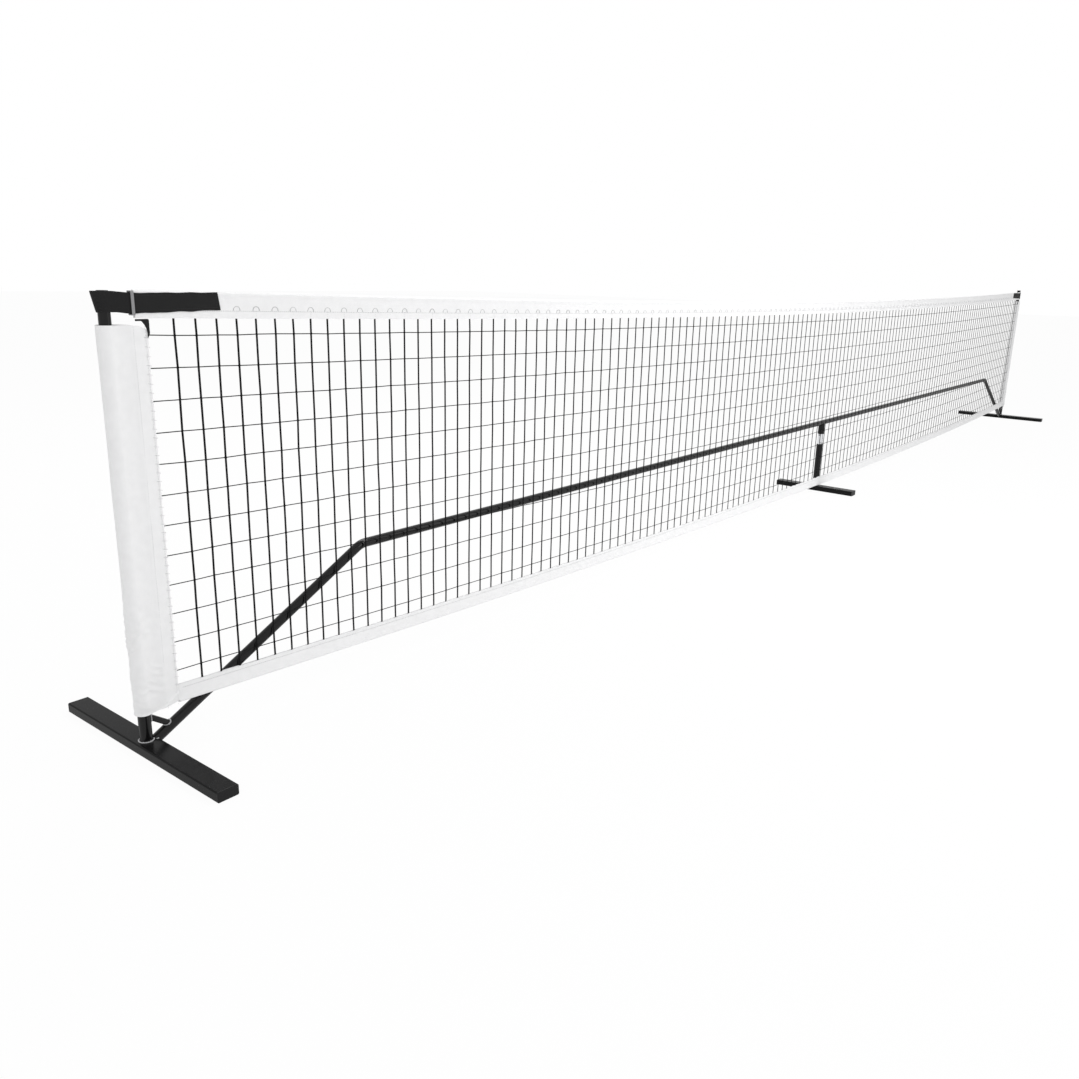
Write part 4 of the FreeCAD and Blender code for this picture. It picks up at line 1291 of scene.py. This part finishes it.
@dataclass
class Stitching:
    """Every sewn row and thread arch on the net's cloth."""

    lines: Lines
    headband: Band
    bottom: Band
    sleeves: Sequence[PostSleeve]
    straps: Sequence[Strap]
    seam_down: float = 0.036

    def build(self, palette: Palette) -> None:
        """Sews the rows and arches.

        Args:
            palette: The finishes.
        """
        rows = [self.band_row(self.headband, self.seam_down), self.band_row(self.bottom, 0.031),
                self.band_row(self.bottom, 0.006)]
        thread, pale = palette.thread, palette.pale_thread
        ticks = [tick for sleeve in self.sleeves for tick in self.edge_ticks(sleeve)]
        edging = [row for strap in self.straps for row in self.strap_rows(strap)]
        stitches = stitch_tree()
        self.sew("seam_stitches", rows, stitches, (0.0050, 0.0042, 0.0010), thread)
        self.sew("sleeve_stitches", self.flap_rows(), stitches, (0.0050, 0.0038, 0.0008), pale)
        self.sew("edge_ticks", ticks, stitches, (0.0030, 0.0036, 0.0011), pale)
        self.sew("strap_stitches", edging, stitches, (0.0042, 0.0031, 0.0007), palette.dark_thread)
        arches = mesh_object("strand_arches", self.arch_places(), [], [])
        run_tree(arches, loop_tree(), {"Material": thread})
        finish_piece(arches, thread, ROOT)
        self.sew("strand_tails", self.tail_lines(), stitches, (0.0042, 0.0026, 0.0008), thread)

    def sew(self, name: str, rows: Sequence[np.ndarray], tree: Tree,
            stitch: tuple[float, float, float], thread: Material) -> None:
        """Sews stitches along rows of points.

        Args:
            name: The piece's name.
            rows: The rows, each points by 3.
            tree: The stitch tree.
            stitch: The stitches' pitch, length and thickness.
            thread: The thread's material.
        """
        sewn = lines_object(name, rows)
        run_tree(sewn, tree, {**dict(zip(("Pitch", "Length", "Thickness"), stitch)), "Material": thread})
        finish_piece(sewn, thread, ROOT)

    def flap_rows(self) -> list[np.ndarray]:
        """The two rows of stitches up each sleeve's flap."""
        rows = []
        for sleeve in self.sleeves:
            heights = np.linspace(sleeve.low + 0.004, sleeve.high - 0.004, 120)
            y = self.lines.plane - sleeve.flap / 2 - 0.0001
            for inset in (0.004, sleeve.edge - sleeve.fold - 0.002):
                x = sleeve.side.value * (self.lines.post_x - sleeve.edge + inset)
                across = abs(self.lines.post_x - abs(x))
                rows.append(np.array([(x, y + sleeve.ripple(z) - sleeve.tuck(across, z), z)
                                      for z in heights]))
        return rows

    def edge_ticks(self, sleeve: PostSleeve) -> list[np.ndarray]:
        """Short oversewn stitches across the flap's edge."""
        ticks = []
        for z in np.arange(sleeve.low + 0.03, sleeve.high - 0.02, 0.017):
            y = self.lines.plane - sleeve.flap / 2 + sleeve.ripple(z) - 0.0002
            start, end = self.lines.post_x - sleeve.edge + 0.006, self.lines.post_x - sleeve.edge - 0.0012
            ticks.append(np.linspace((sleeve.side.value * start, y, z),
                                     (sleeve.side.value * end, y, z - 0.0016), 3))
        return ticks

    def band_row(self, band: Band, down: float) -> np.ndarray:
        """A row of stitches along a band, at a depth from its fold."""
        places = np.linspace(-band.end + 0.01, band.end - 0.01, 400)
        front, sign = -band.thick / 2, band.fold.value
        return np.array([(x, band.face_y(x, front, down), band.edge.height(x) - sign * down) for x in places])

    def arch_places(self) -> list[tuple[float, float, float]]:
        """Where the thread arches stand on the headband, one over each strand."""
        down = self.seam_down - 0.001
        hidden = self.lines.post_x - self.straps[0].reach
        band = self.headband
        return [(x, band.face_y(x, -band.thick / 2, down), band.edge.height(x) - down)
                for x in self.lines.column_places() if abs(x) < hidden]

    def tail_lines(self) -> list[np.ndarray]:
        """Short runs of stitches from each arch down to its strand."""
        return [np.linspace((x, y, z - 0.001), (x, y, z - 0.0145), 3) for x, y, z in self.arch_places()]

    def strap_rows(self, strap: Strap) -> list[np.ndarray]:
        """The stitched box at a strap's sewn end, on its front."""
        sign, post = strap.side.value, self.lines.post_x
        y = self.lines.plane - strap.layer - strap.thick / 2 - 0.0001
        near, far = post - strap.straight - 0.012, post - strap.reach + 0.006
        runs = []
        for rim, inset in ((0, 0.005), (1, -0.005)):
            places = np.linspace(near, far, 24)
            runs.append(np.array([(sign * x, y, strap.low + strap.rims(post - x)[rim] + inset)
                                  for x in places]))
        for end in (0, -1):
            runs.append(np.linspace(runs[0][end], runs[1][end], 6))
        return runs


# ---------------------------------------------------------------- the steel frame


@dataclass
class SteelFrame:
    """The tubes, feet, caps and buttons, and the welds that hold each base together."""

    nodes: dict[str, Piece]
    foot_top: float
    stay_radius: float
    strip: float = 0.0008
    weld_flare: float = 0.004
    foot_half: float = 0.022
    brace_height: float = 0.078
    brace_tilt: float = 35.0
    brace_radius: float = 0.00625
    rail_height: float = 0.318
    bend_reach: float = 0.580
    stay_root: float = 0.029
    bead_lift: float = 0.0006
    bead_seat: float = 0.0015
    turns: int = 40
    soft: tuple[str, ...] = ("net", "headband", "bottom_band", "_sleeve", "_strap", "corner_tabs")

    def dress(self, palette: Palette) -> None:
        """Gives each rigid part its finish.

        Args:
            palette: The finishes.
        """
        for name, node in self.nodes.items():
            if any(name.endswith(ending) for ending in self.soft):
                continue
            material = palette.for_node(name)
            for slot in range(max(1, len(node.data.materials))):
                if slot < len(node.data.materials):
                    node.data.materials[slot] = material
                else:
                    node.data.materials.append(material)
            LOG.info("%s: %s", name, material.name)

    def flex_springs(self, palette: Palette) -> None:
        """Stands a smooth-shaded copy of each rigid spring in its place and hides the rigid one.

        Args:
            palette: The finishes.
        """
        for name, node in self.nodes.items():
            if not name.endswith("_spring"):
                continue
            hairpin = bpy.data.objects.new(name + "_leaf", node.data.copy())
            bpy.context.scene.collection.objects.link(hairpin)
            hairpin.data.materials.clear()
            hairpin.data.materials.append(palette.spring)
            soften(hairpin)
            button = name.replace("_spring", "_button")
            spring_low, spring_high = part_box(name)
            button_low, button_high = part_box(button)
            middle = (spring_low + spring_high) / 2
            still, moving = middle.copy(), middle.copy()
            if name == "leg_spring":
                still.x, moving.x = spring_high.x - self.strip, button_high.x + self.strip
            else:
                still.y, moving.y = spring_low.y + self.strip, button_low.y - self.strip
            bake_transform(hairpin)
            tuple(still)
            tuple(moving)
            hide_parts(name)

    def girdle(self, centre: Vector, axis: Vector, radius: float,
               lean: Callable[[Vector], float]) -> np.ndarray:
        """A closed run of points round an axis, each slid along it.

        Args:
            centre: A point on the axis.
            axis: The axis's direction.
            radius: The run's distance from the axis.
            lean: How far along the axis each point slides, from its place at the centre.

        Returns:
            The points, turns by 3.
        """
        axis = axis.normalized()
        side = axis.orthogonal().normalized()
        up = axis.cross(side)
        spots = []
        for turn in np.linspace(0.0, math.tau, self.turns + 1)[:-1]:
            spot = centre + radius * (math.cos(turn) * side + math.sin(turn) * up)
            spots.append(spot + axis * lean(spot))
        return np.array(spots)

    def base_welds(self, side: Side) -> list[np.ndarray]:
        """The weld lines of one base: round the socket, at the brace's two ends and at the stay's root.

        Args:
            side: Which base.

        Returns:
            The closed runs of points.
        """
        low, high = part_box(side.word + "_post_socket")
        post = (low + high) / 2
        tube = (high.x - low.x) / 2 - self.weld_flare
        runs = [self.girdle(Vector((post.x, post.y, self.foot_top + self.bead_seat)), UPRIGHT,
                            tube + self.weld_flare * 0.45, lambda spot: 0.0)]
        tilt = math.radians(self.brace_tilt)
        inward = -side.value
        strut = Vector((inward * math.cos(tilt), 0.0, -math.sin(tilt)))
        top = Vector((post.x, 0.0, self.brace_height))
        round_r = self.brace_radius + self.bead_lift

        def to_socket(spot: Vector) -> float:
            """How far along the brace a point meets the socket's wall."""
            reach = math.sqrt(max(0.0, (tube + self.bead_lift) ** 2 - spot.y ** 2))
            return (reach - inward * (spot.x - post.x)) / math.cos(tilt)

        runs.append(self.girdle(top, strut, round_r, to_socket))
        slope = math.atan2(self.rail_height - self.foot_top, self.bend_reach - self.stay_root)
        stay = Vector((inward * math.cos(slope), 0.0, math.sin(slope)))
        root = Vector((post.x + inward * self.stay_root, 0.0, self.foot_top))
        above = Vector((-inward * math.sin(slope), 0.0, math.cos(slope)))

        def to_stay(spot: Vector) -> float:
            """How far along the brace a point meets the stay's wall."""
            wall = math.sqrt(max(0.0, (self.stay_radius + self.bead_lift) ** 2 - spot.y ** 2))
            gap = (spot - root).dot(above) - wall
            return -gap / strut.dot(above)

        runs.append(self.girdle(top, strut, round_r, to_stay))

        def to_foot(spot: Vector) -> float:
            """How far along the stay a point meets the foot's top."""
            return (self.foot_top + self.bead_lift - spot.z) / math.sin(slope)

        seat = self.girdle(root, stay, self.stay_radius + self.bead_lift, to_foot)
        clear = np.hypot(seat[:, 0] - post.x, seat[:, 1] - post.y) > tube + self.weld_flare
        on_foot = np.abs(seat[:, 0] - post.x) < self.foot_half
        keep = np.flatnonzero(clear & on_foot)
        runs.extend(seat[part] for part in np.split(keep, np.flatnonzero(np.diff(keep) > 1) + 1))
        return runs

    def weld(self, palette: Palette) -> None:
        """Lays the weld beads at both bases and round the centre leg, pale steel in colour as a painted
        highlight.

        Args:
            palette: The finishes.
        """
        tree = weld_tree()
        places = {side.word + "_weld_beads": self.base_welds(side) for side in Side}
        leg_low, leg_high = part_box("centre_leg")
        leg = (leg_low + leg_high) / 2
        places["centre_weld_bead"] = [self.girdle(
            Vector((leg.x, leg.y, self.foot_top + self.bead_seat)), UPRIGHT,
            (leg_high.x - leg_low.x) / 2 - self.weld_flare * 0.55, lambda spot: 0.0)]
        for name, runs in places.items():
            whole = [np.concatenate([run, run[:1]]) if len(run) == self.turns else run for run in runs]
            bead = lines_object(name, whole)
            run_tree(bead, tree, {"Size": 0.0017, "Pitch": 0.0017, "Material": palette.weld})
            finish_piece(bead, palette.weld, ROOT)


# ---------------------------------------------------------------- studio


@dataclass
class Studio:
    """Floor, light and camera."""

    focal: float = 945.8
    yaw: float = 51.62
    pitch: float = 15.80
    roll: float = -1.375
    place: tuple[float, float, float] = (-4.238, -1.702, 0.9605)
    floor_side: float = 60.0
    floor_glow: float = 0.95
    world_level: float = 0.68

    def lay_floor(self) -> None:
        """Lays a plain white floor that keeps a faint shadow."""
        half = self.floor_side / 2
        floor = mesh_object("studio_floor", [(-half, -half, 0), (half, -half, 0), (half, half, 0),
                                             (-half, half, 0)], [], [(0, 1, 2, 3)])
        material, g, shader = blank_material("studio_floor")
        g.feed(shader, {"Base Color": (0.8, 0.8, 0.8, 1.0), "Roughness": 0.9})
        path = g.add("ShaderNodeLightPath")
        seen = g.math("MAXIMUM", path.outputs["Is Camera Ray"], path.outputs["Is Glossy Ray"])
        glow = g.add("ShaderNodeEmission", {"Color": (1.0, 1.0, 1.0, 1.0), "Strength": 1.0})
        mix = g.add("ShaderNodeMixShader", {0: g.math("MULTIPLY", seen, self.floor_glow),
                                            1: shader.outputs[0], 2: glow.outputs[0]})
        g.feed(material.node_tree.nodes["Material Output"], {"Surface": mix.outputs[0]})
        floor.data.materials.append(material)

    def light(self) -> None:
        """Sets a pale world and three soft lamps."""
        world = bpy.data.worlds.new("studio")
        world.use_nodes = True
        bpy.context.scene.world = world
        g = Graph(world.node_tree)
        path = g.add("ShaderNodeLightPath")
        seen = g.math("MAXIMUM", path.outputs["Is Camera Ray"],
                      g.math("MAXIMUM", path.outputs["Is Glossy Ray"], path.outputs["Is Transmission Ray"]))
        strength = g.math("MULTIPLY_ADD", seen, 1.0 - self.world_level, self.world_level)
        g.feed(world.node_tree.nodes["Background"], {"Color": (1.0, 1.0, 1.0, 1.0), "Strength": strength})
        self.lamp("overhead", (-1.0, -0.7, 3.2), (-1.0, -0.1, 0.3), 8.0, 0.7, 120.0)
        self.lamp("key", (-7.0, -2.2, 2.6), (-2.4, 0.0, 0.4), 3.0, 3.0, 45.0)
        self.lamp("far_fill", (1.5, -4.5, 2.5), (1.5, 0.0, 0.4), 5.0, 3.0, 35.0)

    def lamp(self, name: str, place: Sequence[float], target: Sequence[float], width: float, depth: float,
             power: float) -> None:
        """Hangs a soft box.

        Args:
            name: The lamp's name.
            place: Where it hangs.
            target: What it faces.
            width: Its longer side.
            depth: Its shorter side.
            power: Its power in watts.
        """
        data = bpy.data.lights.new(name, "AREA")
        data.shape = "RECTANGLE"
        data.size = width
        data.size_y = depth
        data.energy = power
        made = bpy.data.objects.new(name, data)
        made.location = place
        made.rotation_euler = (Vector(target) - Vector(place)).to_track_quat("-Z", "X").to_euler()
        bpy.context.scene.collection.objects.link(made)

    def aim_camera(self) -> None:
        """Sets the camera from its turn, dip and tilt."""
        yaw, pitch, roll = (math.radians(a) for a in (self.yaw, self.pitch, self.roll))
        ahead = np.array([math.sin(yaw) * math.cos(pitch), math.cos(yaw) * math.cos(pitch), -math.sin(pitch)])
        right = np.array([math.cos(yaw), -math.sin(yaw), 0.0])
        down = np.cross(ahead, right)
        across = right * math.cos(roll) + down * math.sin(roll)
        drop = -right * math.sin(roll) + down * math.cos(roll)
        data = bpy.data.cameras.new("camera")
        data.sensor_width = SENSOR
        data.lens = SENSOR * self.focal / IMAGE_SIDE
        data.clip_start = 0.05
        data.clip_end = 200.0
        camera = bpy.data.objects.new("camera", data)
        turn = Matrix((across, -drop, -ahead)).transposed()
        camera.matrix_world = Matrix.Translation(self.place) @ turn.to_4x4()
        bpy.context.scene.collection.objects.link(camera)
        bpy.context.scene.camera = camera


def main() -> None:
    """Builds the net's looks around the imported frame, piece by piece."""
    logging.basicConfig(level=logging.INFO, format="%(name)s %(message)s")
    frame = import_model()
    bpy.context.scene.view_settings.view_transform = "Standard"
    palette = Palette(Shelf())
    rail_low, rail_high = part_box("left_outer_rail")
    steel = SteelFrame(frame["nodes"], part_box("left_foot_tube")[1].z, (rail_high.z - rail_low.z) / 2)
    steel.dress(palette)
    steel.flex_springs(palette)
    steel.weld(palette)
    lines = Lines()
    headband = Band("headband_tape", lines.top, Fold.UP, 0.051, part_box("headband")[1].x, lines.plane)
    bottom = Band("bottom_band_tape", lines.foot, Fold.DOWN, 0.040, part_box("bottom_band")[1].x, lines.plane)
    Netting(lines, headband.width, bottom.width).build(palette)
    headband.build(palette)
    bottom.build(palette)
    sleeves, straps, bindings = [], [], []
    for side in Side:
        sleeve_low, sleeve_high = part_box(side.word + "_sleeve")
        sleeves.append(PostSleeve(side, lines, sleeve_low.z, sleeve_high.z))
        sleeves[-1].build(palette)
        strap_low, strap_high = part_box(side.word + "_strap")
        post_low, post_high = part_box(side.word + "_post")
        straps.append(Strap(side, lines, (post_high.x - post_low.x) / 2, strap_low.z,
                            strap_high.z - strap_low.z))
        straps[-1].build(palette)
        bindings.append(CornerBinding(side, lines, headband.width).build(palette))
    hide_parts("corner_tabs")
    Stitching(lines, headband, bottom, sleeves, straps).build(palette)
    studio = Studio()
    studio.lay_floor()
    studio.light()
    studio.aim_camera()


if __name__ == "__main__":
    main()
